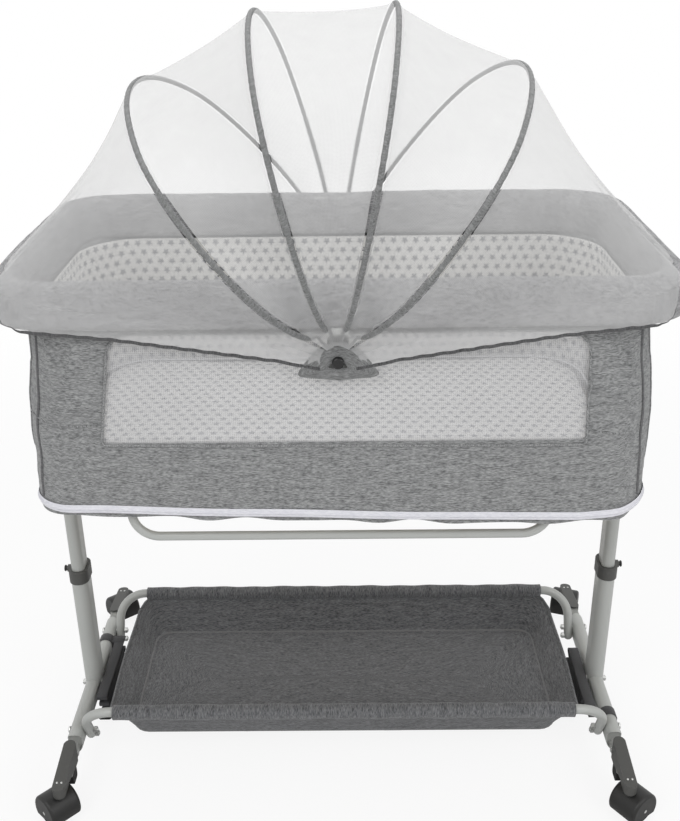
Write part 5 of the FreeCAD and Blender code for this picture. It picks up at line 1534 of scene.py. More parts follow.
    def seams(self) -> list[bpy.types.Object]:
        """Build the raised seams: upright ones by the corners and level ones at both ends."""
        pieces = []
        for side, sign in LEFT_RIGHT:
            level = self.seam_z[side]
            loop = self.loop(level, 0.5)
            reach = 4 + abs(self.window.left[1] if sign < 0 else self.window.right[1])
            keep = (loop[:, 0] * sign > reach) & (loop[:, 1] < 200)
            part = loop[keep]
            order = np.argsort(np.arctan2(part[:, 1], sign * part[:, 0]))
            part = part[order]
            fall = 12 * np.clip((np.abs(part[:, 0]) - 330) / 60, 0, 1) * (1 if sign > 0 else 0)
            path = self.wander(np.column_stack([part, level - fall]))
            name = f"panel_seam_{side}"
            pieces.append(make_object(name, tube_mesh(name, path * MM, 1.3 * MM, 8),
                                      Finish.BODY_CLOTH))
            for number, y in enumerate((-178.0, 178.0)):
                rows = []
                for z in np.linspace(self.top - 2, self.low + 16, 40):
                    ring = self.loop(z, 0.6)
                    nearest = np.argmin(np.abs(ring[:, 1] - y) + 9 * (ring[:, 0] * sign < 0)
                                        * self.half[1])
                    rows.append((*ring[nearest], z))
                path = np.array(rows)
                name = f"upright_seam_{side}_{number}"
                pieces.append(make_object(
                    name, tube_mesh(name, self.wander(path) * MM, 1.4 * MM, 8), Finish.BODY_CLOTH))
        return pieces

    def window_net(self) -> bpy.types.Object:
        """Build the window's net, drawn in a little between its edges."""
        xs = np.linspace(-336, 344, 92)
        zs = np.linspace(832, 653, 30)
        points = np.array([
            [(x, -237.6 + 1.6 * math.cos(x / 345 * math.pi / 2) * math.cos((z - 742) / 95 * 1.4), z)
             for x in xs]
            for z in zs
        ])
        points = rumple(points, 70, 0.8, 2.0)
        return make_object("window_net", grid_mesh("window_net", points * MM), Finish.WINDOW_NET)

    def skirt(self) -> bpy.types.Object:
        """Build the wavy edge of cloth below the tape."""
        loop = self.loop(self.low)
        rows = []
        for share in np.linspace(0, 1, 7):
            out = np.array([
                1.0 + share * (1.6 * math.sin(x / 13.0) + 1.2 * math.sin(x / 31.0 + y / 17.0))
                for x, y in loop
            ])
            direction = loop / np.linalg.norm(loop * np.array([0.5, 1.0]), axis=1)[:, None]
            flat = loop - direction * np.array([0.5, 1.0]) * (3.0 + out)[:, None]
            drop = np.array([2.2 * share * math.sin(x / 19.0 + y / 23.0) for x, y in loop])
            drop += np.array([self.sag(x, y) for x, y in loop])
            z = self.tape[1] - 4 - (self.tape[1] - 4 - self.hem) * share + drop
            rows.append(np.column_stack([flat, z]))
        mesh = grid_mesh("body_skirt", np.array(rows) * MM, loop_across=True)
        return make_object("body_skirt", mesh, Finish.BODY_CLOTH)

    def zip_tape(self) -> bpy.types.Object:
        """Build the white zip round the foot: tape, a row of teeth and its stitched edges."""
        flat = self.loop(self.low, 0.6)
        base = self.wander(np.column_stack([flat, np.full(len(flat), self.low)]))
        profile = (
            (0.2, 0.0), (0.9, 0.6), (1.2, 2.6), (1.3, 4.6), (2.6, 5.4), (2.9, 6.25), (2.6, 7.1),
            (1.3, 7.9), (1.2, 10.0), (0.9, 12.0), (0.2, 12.5),
        )
        loop = base[:, :2]
        outward = loop / np.linalg.norm(loop * np.array([0.55, 1.0]), axis=1)[:, None]
        outward *= np.array([0.55, 1.0])
        rows = []
        for out, rise in profile:
            wave = np.array([self.sag(x, y) + 0.8 * math.sin(x / 47 + y / 70) for x, y in loop])
            rows.append(np.column_stack([loop + outward * out, self.tape[0] + rise + wave]))
        mesh = grid_mesh("foot_zip", np.array(rows) * MM, loop_across=True)
        return make_object("foot_zip", mesh, Finish.WHITE_ZIP)

    def corner_zip(self, side: str, sign: int) -> bpy.types.Object:
        """Build the upright zip at one front corner.

        Args:
            side: "left" or "right".
            sign: -1 or 1.

        Returns:
            The zip.
        """
        rows = []
        for z in np.linspace(self.top - 1, 572.0, 64):
            half_x, half_y = self.half_at(z)
            corner = self.corner(z)
            centre = np.array([sign * (half_x - corner), -(half_y - corner)])
            row = []
            for spread, lift in ((-2.4, 0.1), (-1.7, 0.8), (-0.8, 0.9), (-0.4, 1.6), (0.4, 1.6),
                                 (0.8, 0.9), (1.7, 0.8), (2.4, 0.1)):
                angle = math.radians(-90 + sign * self.zip_turn) + spread / corner
                radius = corner + 0.5 + lift + (0.25 if int(z) % 2 else 0.0)
                row.append((
                    centre[0] + radius * math.cos(angle), centre[1] + radius * math.sin(angle), z,
                ))
            rows.append(row)
        points = self.wander(np.array(rows))
        mesh = grid_mesh(f"corner_zip_{side}", points * MM)
        return make_object(f"corner_zip_{side}", mesh, Finish.GREY_ZIP)


@dataclass
class Bedding:
    """The star-printed liner, the board and the mattress inside the bassinet."""

    liner_top: tuple[float, float] = (430.0, 226.0)
    liner_low: tuple[float, float] = (424.0, 232.0)
    corner: float = 98.0
    top: float = 822.0
    low: float = 560.0
    steps: tuple[int, int, int] = (110, 50, 20)
    window: Window = field(default_factory=Window)
    mattress_half: tuple[float, float, float] = (414.0, 222.0, 84.0)
    mattress_low: float = 566.0
    mattress_high: float = 600.0
    mattress_limit: tuple[float, float] = (418.0, 226.0)
    swell_cap: float = 9.0
    swell_frames: int = 20
    swell_pressure: float = 4.0
    voxel_mm: float = 6.0
    # The liner's cut, in metres: the way round by the height, less the window.
    cut: tuple[float, float] = (2.46, 0.262)
    cut_area: float = 0.535

    def build(self) -> None:
        """Build the liner and the mattress, and dress the board."""
        dress("base_board", Finish.BOARD)
        liner = self.liner()
        settle(liner, "cradle", "white_cloth", "liner")
        mattress = self.mattress()
        settle(mattress, "cradle", "white_cloth", "mattress")
        piping = self.mattress_piping()
        settle(piping, "cradle", "white_cloth")

    def liner(self) -> bpy.types.Object:
        """Build the liner: gathered under the rim, in soft upright folds, open at the window."""
        rows = []
        for share in np.linspace(0, 1, 40):
            half_x = self.liner_top[0] + (self.liner_low[0] - self.liner_top[0]) * share
            half_y = self.liner_top[1] + (self.liner_low[1] - self.liner_top[1]) * share
            loop = rounded_loop(half_x - 1.5, half_y - 1.5, self.corner, *self.steps)
            hold = math.sin(math.pi * min(max(share, 0.02), 0.98)) ** 0.6
            inward = np.array([
                hold * (2.6 * noise.noise(Vector((x / 46, y / 46, share * 1.2 + 5)))
                        + 1.2 * noise.noise(Vector((x / 17, y / 17, share * 2))) + 2.4)
                for x, y in loop
            ])
            direction = loop / np.linalg.norm(loop * np.array([0.5, 1.0]), axis=1)[:, None]
            direction *= np.array([0.5, 1.0])
            flat = loop - direction * inward[:, None]
            z = self.top + (self.low - self.top) * share
            rows.append(np.column_stack([flat, np.full(len(flat), z)]))
        points = np.array(rows)
        middle = (points[:-1, :, :] + np.roll(points, -1, axis=1)[1:, :, :]) / 2
        window = self.window
        hole = (
            (middle[:, :, 1] < -190) & (middle[:, :, 0] > window.left[1] - 6)
            & (middle[:, :, 0] < window.right[1] + 6)
            & (middle[:, :, 2] > window.low - 4)
        )
        mesh = grid_mesh("star_liner", points * MM, loop_across=True, keep=~hole)
        piece = make_object("star_liner", mesh, Finish.STAR_CLOTH)
        thicken(piece, 1.2 * MM, -1.0)
        return piece

    def mattress(self) -> bpy.types.Object:
        """Build the mattress and let pressure fill it, held to a few millimetres."""
        half_x, half_y, corner = self.mattress_half
        rows = []
        height = self.mattress_high - self.mattress_low
        for inset, rise in (
            (60, 0), (6, 0), (1.5, 0.06), (0, 0.2), (0, 0.8), (1.5, 0.94), (6, 1.0), (60, 1.06),
            (130, 1.1), (200, 1.12),
        ):
            radius = max(corner - inset, 8)
            loop = rounded_loop(half_x - inset, half_y - inset, radius, 60, 26, 10)
            rows.append(np.column_stack([loop, np.full(len(loop),
                                                       self.mattress_low + rise * height)]))
        mesh = grid_mesh("star_mattress", np.array(rows) * MM, loop_across=True)
        close_holes(mesh, split=True)
        piece = make_object("star_mattress", mesh, Finish.STAR_CLOTH)
        self.inflate(piece)
        self.flat_uv(piece.data)
        for polygon in piece.data.polygons:
            polygon.use_smooth = True
        return piece

    def inflate(self, piece: bpy.types.Object) -> None:
        """Swell a closed form under pressure, then hold each point near where it was.

        Args:
            piece: The form.
        """
        remesh = piece.modifiers.new("even", "REMESH")
        remesh.mode = "VOXEL"
        remesh.voxel_size = self.voxel_mm * MM
        apply_modifiers(piece)
        rest = np.array([vertex.co for vertex in piece.data.vertices])
        cloth = piece.modifiers.new("swell", "CLOTH")
        cloth.settings.use_pressure = True
        cloth.settings.uniform_pressure_force = self.swell_pressure
        cloth.settings.effector_weights.gravity = 0.0
        cloth.point_cache.frame_start = 1
        cloth.point_cache.frame_end = self.swell_frames
        scene = bpy.context.scene
        for frame in range(1, self.swell_frames + 1):
            scene.frame_set(frame)
        apply_modifiers(piece)
        scene.frame_set(1)
        moved = np.array([vertex.co for vertex in piece.data.vertices])
        step = moved - rest
        length = np.linalg.norm(step, axis=1)
        cap = self.swell_cap * MM
        keep = np.minimum(1.0, cap / np.maximum(length, 1e-9))
        settled = rest + step * keep[:, None]
        settled[:, 2] = np.maximum(settled[:, 2], self.mattress_low * MM)
        limit = np.array(self.mattress_limit) * MM
        settled[:, :2] = np.clip(settled[:, :2], -limit, limit)
        piece.data.vertices.foreach_set("co", settled.ravel())
        piece.data.update()

    def flat_uv(self, mesh: bpy.types.Mesh) -> None:
        """Lay the print flat on top of the mattress, and down its sides."""
        layer = mesh.uv_layers.get("cloth") or mesh.uv_layers.new(name="cloth")
        for polygon in mesh.polygons:
            facing = polygon.normal
            for index in polygon.loop_indices:
                place = mesh.vertices[mesh.loops[index].vertex_index].co
                if abs(facing.z) > 0.6:
                    layer.data[index].uv = (place.x, place.y)
                elif abs(facing.y) > abs(facing.x):
                    layer.data[index].uv = (place.x, place.z)
                else:
                    layer.data[index].uv = (place.y, place.z)

    def mattress_piping(self) -> bpy.types.Object:
        """Build the piped seam round the mattress's upper edge."""
        half_x, half_y, corner = self.mattress_half
        loop = rounded_loop(half_x + 1, half_y + 1, corner, 80, 40, 14)
        path = np.column_stack([loop, np.full(len(loop), self.mattress_high - 1)])
        mesh = tube_mesh("mattress_piping", path * MM, 2.0 * MM, 8, closed=True)
        return make_object("mattress_piping", mesh, Finish.WHITE_CLOTH)


@dataclass
class CradleFrame:
    """The sliding legs, the top rail, the support hoop and the canopy's brackets."""

    def build(self) -> None:
        """Give the cradle's hard pieces their finishes."""
        for side, _ in LEFT_RIGHT:
            dress(f"inner_leg_{side}", Finish.CRADLE_PAINT)
        dress("inner_leg_glides", Finish.BLACK_PLASTIC)
        dress("top_rail", Finish.CRADLE_PAINT)
        dress("support_hoop", Finish.STAND_PAINT)
        dress("hub_brackets", Finish.STEEL)
        dress("hub_knobs", Finish.GLOSS_PLASTIC)


# ------------------------------------------------------------------ canopy


@dataclass(frozen=True)
class Arch:
    """A bow's line in its own plane: two side curves, a crown and two feet, in mm."""

    half_width: float
    wide_r: float
    side_radius: float
    top_r: float
    foot_y: float
    foot_r: float

    def at(self, share: float, from_r: float) -> tuple[float, float]:
        """Return the place at a share of the way round.

        Args:
            share: 0 at the front foot and 1 at the rear foot.
            from_r: Where the line starts, from the pivot.

        Returns:
            Y and the distance from the pivot along the plane.
        """
        way = -1 if share < 0.5 else 1
        along = 1 - abs(2 * share - 1)
        run_out = self.half_width - self.foot_y
        rise = self.wide_r - self.foot_r
        foot_radius = (run_out ** 2 + rise ** 2) / (2 * run_out)
        foot_centre = self.half_width - foot_radius
        low = math.asin((from_r - self.wide_r) / foot_radius)
        across = self.half_width - self.side_radius
        height = self.top_r - self.wide_r
        crown_radius = (across ** 2 + height ** 2 - self.side_radius ** 2) / (
            2 * (height - self.side_radius))
        meet = math.atan2(self.wide_r - self.top_r + crown_radius, across)
        lengths = (
            foot_radius * -low, self.side_radius * meet, crown_radius * (math.pi / 2 - meet),
        )
        reach = along * sum(lengths)
        if reach <= lengths[0]:
            angle = low + reach / foot_radius
            y = foot_centre + foot_radius * math.cos(angle)
            r = self.wide_r + foot_radius * math.sin(angle)
        elif reach <= lengths[0] + lengths[1]:
            angle = (reach - lengths[0]) / self.side_radius
            y = across + self.side_radius * math.cos(angle)
            r = self.wide_r + self.side_radius * math.sin(angle)
        else:
            angle = meet + (reach - lengths[0] - lengths[1]) / crown_radius
            y = crown_radius * math.cos(angle)
            r = self.top_r - crown_radius + crown_radius * math.sin(angle)
        return way * y, r


@dataclass
class Canopy:
    """Four cloth-bound bows on two pivots, and the sheer net over them and the rim."""

    hub_z: float = 790.0
    tilts: tuple[float, float, float, float] = (-41.3, -15.5, 11.4, 38.1)
    bow: Arch = Arch(356.0, 179.0, 206.0, 423.0, 306.0, 80.0)
    mid: Arch = Arch(336.0, 179.0, 186.0, 406.0, 296.0, 80.0)
    rim_tilt: float = 77.2
    end_tilts: tuple[float, ...] = (56.0, 69.0, 77.2, 79.0, 84.0)
    end_arches: tuple[Arch, ...] = (
        Arch(312.0, 230.0, 168.0, 404.0, 280.0, 80.0),
        Arch(268.0, 320.0, 108.0, 433.0, 262.0, 80.0),
        Arch(252.5, 385.0, 91.0, 478.5, 251.5, 80.0),
        Arch(252.5, 388.0, 91.0, 481.5, 251.5, 80.0),
        Arch(252.5, 381.0, 91.0, 474.5, 251.5, 80.0),
    )
    clear: float = 5.4
    columns: int = 150
    binding: float = 3.6
    hem_dip: float = 13.0
    # Across the middle of each end the hem is drawn up over the rim: how far from the middle
    # that reaches, over how much width it eases off, and what share of the net's fall is left.
    bare_half: float = 236.0
    bare_blend: float = 40.0
    rim_share: float = 0.6
    foot_crowding: float = 0.92
    rim_side_y: float = 252.6
    # Where the nets go down to the pivots: distance from them, and place across.
    gore_feet: tuple[tuple[float, float], ...] = (
        (22.0, 261.0), (36.0, 268.0), (52.0, 283.0), (66.0, 296.0),
    )
    # The same for an end net: distance, and the share of its width by then.
    end_feet: tuple[tuple[float, float], ...] = (
        (24.0, 0.0), (38.0, 0.3), (54.0, 0.62), (68.0, 0.85),
    )
    narrow_feet_y: tuple[float, ...] = (261.0, 260.0, 257.0, 254.0)
    foot_y: float = 261.0
    foot_width: float = 262.0
    patch_y: float = 258.4
    patch_centre: tuple[float, float] = (0.0, 786.0)
    patch_outline: tuple[tuple[float, float], ...] = (
        (-51.0, 771.0), (-20.0, 766.0), (0.0, 764.5), (20.0, 766.0), (51.0, 771.0),
        (42.0, 789.0), (30.0, 804.0), (11.0, 814.5), (-11.0, 814.5), (-30.0, 804.0),
        (-42.0, 789.0),
    )
    # The patch's section: share of the outline, and how far it stands out.
    patch_section: tuple[tuple[float, float], ...] = (
        (1.0, -0.6), (1.02, 0.4), (1.0, 1.3), (0.95, 1.7), (0.91, 1.35), (0.87, 1.9),
        (0.7, 2.7), (0.5, 2.9), (0.35, 2.6), (0.24, 2.1),
    )
    draw_in: float = 0.05
    # The bows' flat feet lie one outside another on the pivots.
    layer_y: float = 249.2
    layer_pitch: float = 2.4
    # The cuts, in metres, from the bows' length and the angles between their planes. Each is
    # leaf-shaped, so its area is well under its length times its width.
    gore_cut: tuple[float, float] = (1.35, 0.20)
    gore_areas: tuple[float, ...] = (0.163, 0.170, 0.169)
    end_cuts: dict[str, tuple[float, float]] = field(
        default_factory=lambda: {"left": (1.35, 0.29), "right": (1.35, 0.31)})
    end_areas: dict[str, float] = field(default_factory=lambda: {"left": 0.279, "right": 0.297})

    def build(self) -> None:
        """Build the nets, bindings, hems and patches."""
        for number in range(1, 5):
            settle(self.bow_in_cloth(number), f"bow_{number}", "bow_binding", f"net_bow_{number}")
        for first in (1, 2, 3):
            self.gore(first)
        self.end_net("left", -1)
        self.end_net("right", 1)
        for end, sign in FRONT_REAR:
            patch = self.patch(end, sign)
            settle(patch, "cradle", "bow_binding", *(("hub_patches",) if sign < 0 else ()))

    def in_plane(self, tilt: float, y: float, r: float, shift: float = 0.0) -> tuple:
        """Return a place in a leaning plane through the pivots.

        Args:
            tilt: The plane's lean from upright, in degrees.
            y: Place across.
            r: Distance from the pivots.
            shift: Distance off the plane.

        Returns:
            X, Y and Z, in mm.
        """
        lean = math.radians(tilt)
        return (
            r * math.sin(lean) + shift * math.cos(lean), y,
            self.hub_z + r * math.cos(lean) - shift * math.sin(lean),
        )

    def foot_shares(self) -> Points:
        """Return the places of the net's columns, closer together by the feet."""
        even = np.linspace(-1, 1, self.columns)
        return 0.5 + 0.5 * np.sign(even) * (np.abs(even) ** self.foot_crowding)

    def bow_in_cloth(self, number: int) -> bpy.types.Object:
        """Build one bow in its cloth binding, puckered along its seam, down to its eyes.

        Args:
            number: The bow's number.

        Returns:
            The bow.
        """
        layer = self.layer_y + (number - 1) * self.layer_pitch
        tilt = self.tilts[number - 1]
        line = Arch(356.0, 179.0, 206.0, 423.0, layer, 42.0)
        arm = [self.in_plane(tilt, -layer, r) for r in (4.0, 14.0, 24.0, 34.0)]
        path = np.array(
            arm + [self.in_plane(tilt, *line.at(share, 42.0)) for share in np.linspace(0, 1, 280)]
            + [(x, -y, z) for x, y, z in reversed(arm)]
        )
        steps = np.arange(len(path))
        radius = self.binding + 0.3 * np.sin(steps * 1.9) * np.sin(steps * 0.37)
        radius[:3] = radius[-3:] = 1.1
        radius[3:15] = np.linspace(1.8, self.binding, 12)
        radius[-15:-3] = np.linspace(self.binding, 1.8, 12)
        name = f"bow_binding_{number}"
        mesh = tube_mesh(name, path * MM, radius * MM, 12)
        return make_object(name, mesh, Finish.BOW_CLOTH)

    def gore(self, first: int) -> None:
        """Build the net between two bows, hollow between them.

        Args:
            first: The left bow's number.
        """
        start, end = self.tilts[first - 1], self.tilts[first]
        rows = []
        for share in np.linspace(0, 1, 22):
            hollow = 4 * share * (1 - share)
            row = []
            for place in self.foot_shares():
                edge_y, edge_r = self.bow.at(place, 80.0)
                mid_y, mid_r = self.mid.at(place, 80.0)
                sway = hollow * 1.4 * math.sin(place * 41 + first) * math.sin(math.pi * place)
                y = edge_y + (mid_y - edge_y) * hollow
                r = edge_r + (mid_r - edge_r) * hollow + sway
                shift = self.clear * (1 - 2 * share) if share in (0.0, 1.0) else 0.0
                row.append(self.in_plane(start + (end - start) * share, y, r, shift))
            rows.append(row)
        points = self.add_feet(np.array(rows), start, end)
        points = rumple(points, 110, 2.0, first * 3.1)
        name = f"canopy_net_{first}{first + 1}"
        piece = make_object(name, grid_mesh(name, points * MM), Finish.CANOPY_NET)
        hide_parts(f"net_gore_{first}{first + 1}")
        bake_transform(piece)

    def add_feet(self, points: Points, start: float, end: float) -> Points:
        """Carry a gore's net down to the pivots at both ends.

        Args:
            points: Rows from bow to bow, columns from foot to foot.
            start: The first bow's tilt.
            end: The second bow's tilt.

        Returns:
            The longer array.
        """
        rows = []
        for share, row in zip(np.linspace(0, 1, len(points)), points):
            tilt = start + (end - start) * share
            feet = []
            for r, y in self.gore_feet:
                feet.append(self.in_plane(tilt, -y, r))
            back = [(x, -y, z) for x, y, z in feet]
            rows.append(np.concatenate([np.array(feet), row, np.array(back[::-1])]))
        return np.array(rows)

    def end_sections(self, sign: int) -> tuple[list[float], list[Arch]]:
        """Return the tilts and arches that an end net passes through, from its bow outward."""
        bow_tilt = self.tilts[0] if sign < 0 else self.tilts[3]
        return [bow_tilt] + [sign * tilt for tilt in self.end_tilts], [self.bow, *self.end_arches]

    def end_net(self, side: str, sign: int) -> None:
        """Build the net from an outer bow down over the rim's end to its hem.

        Args:
            side: "left" or "right".
            sign: -1 or 1.
        """
        tilts, arches = self.end_sections(sign)
        shares = self.foot_shares()
        sections = []
        for index, (tilt, arch) in enumerate(zip(tilts, arches)):
            shift = sign * self.clear if index == 0 else 0.0
            sections.append([
                self.in_plane(tilt, *arch.at(share, 80.0), shift) for share in shares
            ])
        sections = np.array(sections)
        turns = [smooth_path([tuple(place) for place in sections[:, column]], 9)
                 for column in range(self.columns)]
        points = np.array(turns).transpose(1, 0, 2)
        points = self.crease(self.draw_up(points), sign)
        points = self.dip(self.front_feet(points))
        name = f"canopy_net_{side}"
        piece = make_object(name, grid_mesh(name, points * MM), Finish.CANOPY_NET)
        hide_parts(f"net_end_{side}")
        hem = self.hem(side, points[-1])
        if sign < 0:
            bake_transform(piece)
            settle(hem, "cradle", "bow_binding")
        else:
            for part in (piece, hem):
                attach(part, "bow_4")
                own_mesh(part)
        log.info("%s: %d faces", name, len(piece.data.polygons))

    def crease(self, points: Points, sign: int) -> Points:
        """Draw the pulls from the bow to the rim's corners and the gathers above the hem.

        Args:
            points: Rows from bow to hem, columns from foot to foot, in mm.
            sign: -1 or 1.

        Returns:
            The moved points.
        """
        rows, columns = points.shape[:2]
        moved = points.copy()
        normals = np.cross(np.gradient(points, axis=1), np.gradient(points, axis=0))
        lengths = np.linalg.norm(normals, axis=2, keepdims=True)
        normals /= np.maximum(lengths, 1e-9)
        if (normals[rows // 2, columns // 2] * np.array([sign, 0, 0.6])).sum() < 0:
            normals = -normals
        for row in range(rows):
            down = row / (rows - 1)
            for column in range(columns):
                place = points[row, column]
                end = min(max((abs(place[0]) - 330) / 110, 0.0), 1.0)
                pull = math.sin(down * math.pi) ** 0.8
                spokes = 0.6 + 0.4 * noise.noise(Vector((column / 9.0, sign * 2.0, 4.0)))
                fold = noise.noise(Vector((column / 3.4, down * 0.9, sign * 5.0)))
                gather = noise.noise(Vector((column / 1.3, down * 0.5, sign * 8.0)))
                lift = 4.2 * pull * fold * spokes + max(down - 0.55, 0.0) / 0.45 * (
                    (1.2 + 3.0 * end) * gather + 1.6 * end)
                moved[row, column] += normals[row, column] * lift
        side = (np.abs(moved[:, :, 0]) < 415) & (np.abs(points[:, :, 1]) > 246) & (
            points[:, :, 2] < 905)
        clear_y = np.sign(points[:, :, 1]) * np.maximum(
            np.abs(moved[:, :, 1]), self.rim_side_y)
        moved[:, :, 1] = np.where(side, clear_y, moved[:, :, 1])
        return moved

    def front_feet(self, points: Points) -> Points:
        """Carry an end net's front and rear edges in to the pivots.

        Args:
            points: Rows from bow to hem, columns from foot to foot, in mm.

        Returns:
            The longer array.
        """
        rows = []
        for row in points:
            x, y, z = row[0]
            tilt = math.degrees(math.atan2(x, z - self.hub_z))
            feet = []
            for r, share in self.end_feet:
                width = self.foot_y + (abs(y) - self.foot_width) * share
                feet.append(self.in_plane(tilt, -width, r))
            feet = np.array(feet)
            if abs(y) < self.foot_width:
                feet[:, 1] = -np.array(self.narrow_feet_y)
            back = feet[::-1] * np.array([1.0, -1.0, 1.0])
            rows.append(np.concatenate([feet, row, back]))
        return np.array(rows)

    def draw_up(self, points: Points) -> Points:
        """Draw the middle of an end net's hem up over the rim, to rest on its top.

        Args:
            points: Rows from bow to hem, columns from foot to foot, in mm.

        Returns:
            The shortened array, with as many rows.
        """
        rows, columns = points.shape[:2]
        moved = points.copy()
        for column in range(columns):
            reach = abs(points[-1, column, 1])
            drawn = min(max((self.bare_half - reach) / self.bare_blend, 0.0), 1.0)
            drawn *= drawn * (3 - 2 * drawn)
            last = (rows - 1) * (1 - (1 - self.rim_share) * drawn)
            places = np.linspace(0, last, rows)
            for axis in range(3):
                moved[:, column, axis] = np.interp(places, np.arange(rows), points[:, column, axis])
            down = np.linspace(0, 1, rows)
            moved[:, column, 0] *= 1 - self.draw_in * drawn * down ** 2
        return moved

    def dip(self, points: Points) -> Points:
        """Let the hem hang lower by the pivots than the rim holds it.

        Args:
            points: Rows from bow to hem, columns from foot to foot, in mm.

        Returns:
            The moved points.
        """
        moved = points.copy()
        rows = len(points)
        for row in range(rows):
            down = min(max((row / (rows - 1) - 0.35) / 0.65, 0.0), 1.0)
            near = np.clip(1 - np.abs(points[row, :, 0]) / 290, 0, 1)
            side = np.abs(points[row, :, 1]) > 240
            moved[row, :, 2] -= np.where(side, self.hem_dip * down ** 2 * near, 0.0)
        return moved

    def hem(self, side: str, edge: Points) -> bpy.types.Object:
        """Build the elastic hem along a net's lower edge.

        Args:
            side: "left" or "right".
            edge: The edge's places, in mm.

        Returns:
            The hem.
        """
        path = smooth_path([tuple(place) for place in edge], 2)
        wave = np.arange(len(path))
        path = path + np.column_stack([
            np.zeros(len(path)), np.zeros(len(path)), 0.5 * np.sin(wave * 0.9),
        ])
        name = f"canopy_hem_{side}"
        over_rim = np.clip((np.abs(path[:, 0]) - 400) / 30, 0, 1)
        radius = 1.6 - 1.3 * over_rim
        mesh = tube_mesh(name, path * MM, radius * MM, 8, flatten=1.5)
        return make_object(name, mesh, Finish.HEM_CLOTH)

    def patch(self, end: str, sign: int) -> bpy.types.Object:
        """Build the quilted patch that covers a pivot.

        Args:
            end: "front" or "rear".
            sign: -1 or 1.

        Returns:
            The patch.
        """
        rim = smooth_path([(x, 0.0, z) for x, z in self.patch_outline], 6, loop=True)[:, [0, 2]]
        centre = np.array(self.patch_centre)
        rows = []
        for share, depth in self.patch_section:
            ring = centre + (rim - centre) * share
            rows.append(np.column_stack([
                ring[:, 0], np.full(len(ring), sign * (self.patch_y + depth)), ring[:, 1],
            ]))
        points = rumple(np.array(rows), 14, 0.7, 2.0 + sign)
        name = f"pivot_patch_{end}"
        mesh = grid_mesh(name, points * MM, loop_across=True)
        return make_object(name, mesh, Finish.BOW_CLOTH)


# ------------------------------------------------------------------ studio


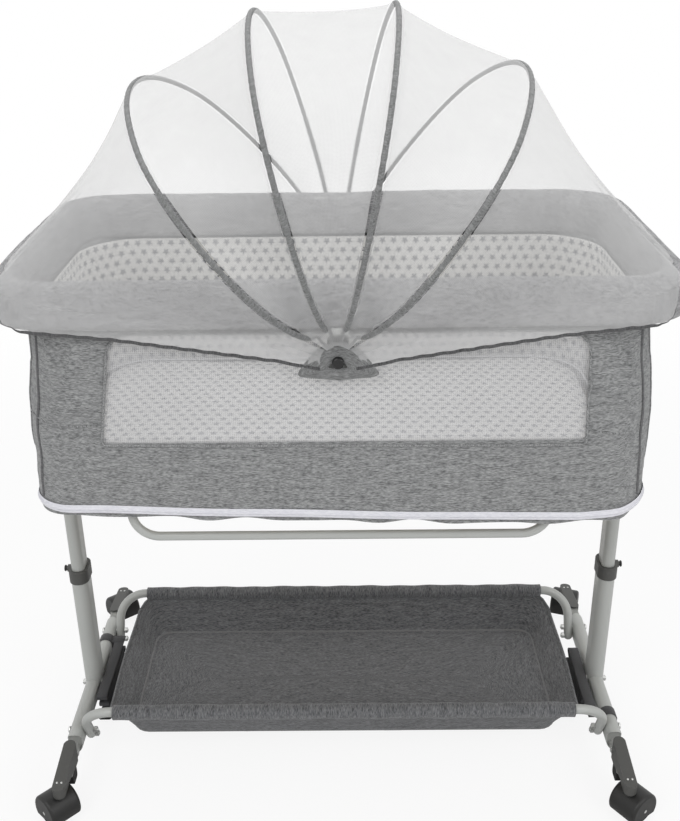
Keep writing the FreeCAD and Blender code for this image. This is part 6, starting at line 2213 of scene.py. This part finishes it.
@dataclass
class Studio:
    """A white floor, soft lamps and the camera of the photograph."""

    camera_place: tuple[float, float, float] = (0.0128, -1.5067, 1.3032)
    pitch: float = 25.1
    yaw: float = 0.6
    roll: float = -0.8
    lens: float = 55.1
    shift: tuple[float, float] = (0.0021, 0.0016)
    floor_radius: float = 2.6
    world_strength: float = 0.55
    # How much of the floor that the camera sees is plain white instead of lit paint.
    floor_glow: float = 0.88
    aim_z: float = 0.65
    # Each lamp's name, place in metres, watts and width in metres.
    lamps: tuple[tuple[str, tuple[float, float, float], float, float], ...] = (
        ("key_lamp", (-1.4, -2.2, 2.6), 26.0, 1.6),
        ("fill_lamp", (1.9, -1.8, 2.0), 17.0, 1.6),
        ("top_lamp", (0.0, 0.6, 3.0), 22.0, 2.2),
    )

    def build(self) -> None:
        """Build the floor, the lamps, the world and the camera."""
        self.camera()
        self.floor()
        self.world()
        for lamp in self.lamps:
            self.lamp(*lamp)
        bpy.context.scene.view_settings.view_transform = "Standard"

    def camera(self) -> None:
        """Place the camera where the photograph was taken from."""
        data = bpy.data.cameras.new("photo_camera")
        data.lens = self.lens
        data.sensor_width = 36.0
        data.sensor_fit = "HORIZONTAL"
        data.shift_x, data.shift_y = self.shift
        camera = bpy.data.objects.new("photo_camera", data)
        bpy.context.scene.collection.objects.link(camera)
        turn = (
            Matrix.Rotation(math.radians(self.yaw), 4, "Z")
            @ Matrix.Rotation(math.radians(90 - self.pitch), 4, "X")
            @ Matrix.Rotation(math.radians(self.roll), 4, "Z")
        )
        camera.matrix_world = Matrix.Translation(self.camera_place) @ turn
        bpy.context.scene.camera = camera

    def floor(self) -> None:
        """Lay a white floor that fades into the white round it."""
        rings = []
        for radius in np.linspace(0.02, self.floor_radius, 14):
            turns = [step * math.pi / 36 for step in range(72)]
            rings.append([
                (radius * math.cos(turn), radius * math.sin(turn), 0.0) for turn in turns
            ])
        mesh = grid_mesh("studio_floor", np.array(rings)[::-1], loop_across=True)
        piece = bpy.data.objects.new("studio_floor", mesh)
        bpy.context.scene.collection.objects.link(piece)
        mesh.materials.append(self.floor_material())

    def floor_material(self) -> bpy.types.Material:
        """Return the floor's white, clear at its far edge."""
        material, tree, output = start_material("white_studio_floor")
        place = add_node(tree, "ShaderNodeTexCoord")
        reach = add_node(
            tree, "ShaderNodeVectorMath", {"operation": "LENGTH"}, {0: (place, "Object")}
        )
        fade = add_node(
            tree, "ShaderNodeMapRange",
            {"interpolation_type": "SMOOTHSTEP", ":From Min": 0.9, ":From Max": self.floor_radius},
            {"Value": (reach, "Value")},
        )
        paint = add_node(tree, "ShaderNodeBsdfDiffuse", {":Color": linear("f4f4f4")})
        glow = add_node(
            tree, "ShaderNodeEmission", {":Color": (1.0, 1.0, 1.0, 1.0), ":Strength": 1.0}
        )
        clear = add_node(tree, "ShaderNodeBsdfTransparent")
        sight = add_node(tree, "ShaderNodeLightPath")
        seen = add_node(
            tree, "ShaderNodeMath", {"operation": "MULTIPLY", ":1": self.floor_glow},
            {0: (sight, "Is Camera Ray")},
        )
        lit = add_node(
            tree, "ShaderNodeMixShader", {}, {0: (seen, 0), 1: (paint, 0), 2: (glow, 0)}
        )
        edge = add_node(
            tree, "ShaderNodeMixShader", {}, {0: (fade, 0), 1: (lit, 0), 2: (clear, 0)}
        )
        tree.links.new(edge.outputs[0], output.inputs[0])
        return material

    def world(self) -> None:
        """Light the studio evenly, and show plain white behind it."""
        world = bpy.data.worlds.new("white_studio")
        bpy.context.scene.world = world
        world.use_nodes = True
        tree = world.node_tree
        tree.nodes.clear()
        output = add_node(tree, "ShaderNodeOutputWorld")
        sight = add_node(tree, "ShaderNodeLightPath")
        either = add_node(
            tree, "ShaderNodeMath", {"operation": "MAXIMUM"},
            {0: (sight, "Is Camera Ray"), 1: (sight, "Is Glossy Ray")},
        )
        seen = add_node(
            tree, "ShaderNodeMath", {"operation": "MAXIMUM"},
            {0: (either, 0), 1: (sight, "Is Transmission Ray")},
        )
        soft = add_node(
            tree, "ShaderNodeBackground",
            {":Color": (1.0, 1.0, 1.0, 1.0), ":Strength": self.world_strength},
        )
        white = add_node(
            tree, "ShaderNodeBackground", {":Color": (1.0, 1.0, 1.0, 1.0), ":Strength": 1.0}
        )
        mixed = add_node(
            tree, "ShaderNodeMixShader", {}, {0: (seen, 0), 1: (soft, 0), 2: (white, 0)}
        )
        tree.links.new(mixed.outputs[0], output.inputs[0])

    def lamp(self, name: str, place: tuple[float, float, float], energy: float,
             size: float) -> None:
        """Add one soft lamp that faces the bassinet.

        Args:
            name: The lamp's name.
            place: Where it stands, in metres.
            energy: Its power, in watts.
            size: Its width, in metres.
        """
        data = bpy.data.lights.new(name, "AREA")
        data.energy = energy
        data.shape = "DISK"
        data.size = size
        lamp = bpy.data.objects.new(name, data)
        bpy.context.scene.collection.objects.link(lamp)
        lamp.location = place
        aim = Vector((0, 0, self.aim_z)) - Vector(place)
        lamp.rotation_euler = aim.to_track_quat("-Z", "Y").to_euler()


def main() -> None:
    """Build the crib and its studio."""
    logging.basicConfig(level=logging.INFO, format="%(message)s")
    Studio().build()
    Stand().build()
    Straps().build()
    Basket().build()
    CradleFrame().build()
    Rim().build()
    Body().build()
    Bedding().build()
    Canopy().build()


if __name__ == "__main__":
    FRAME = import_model()
    main()
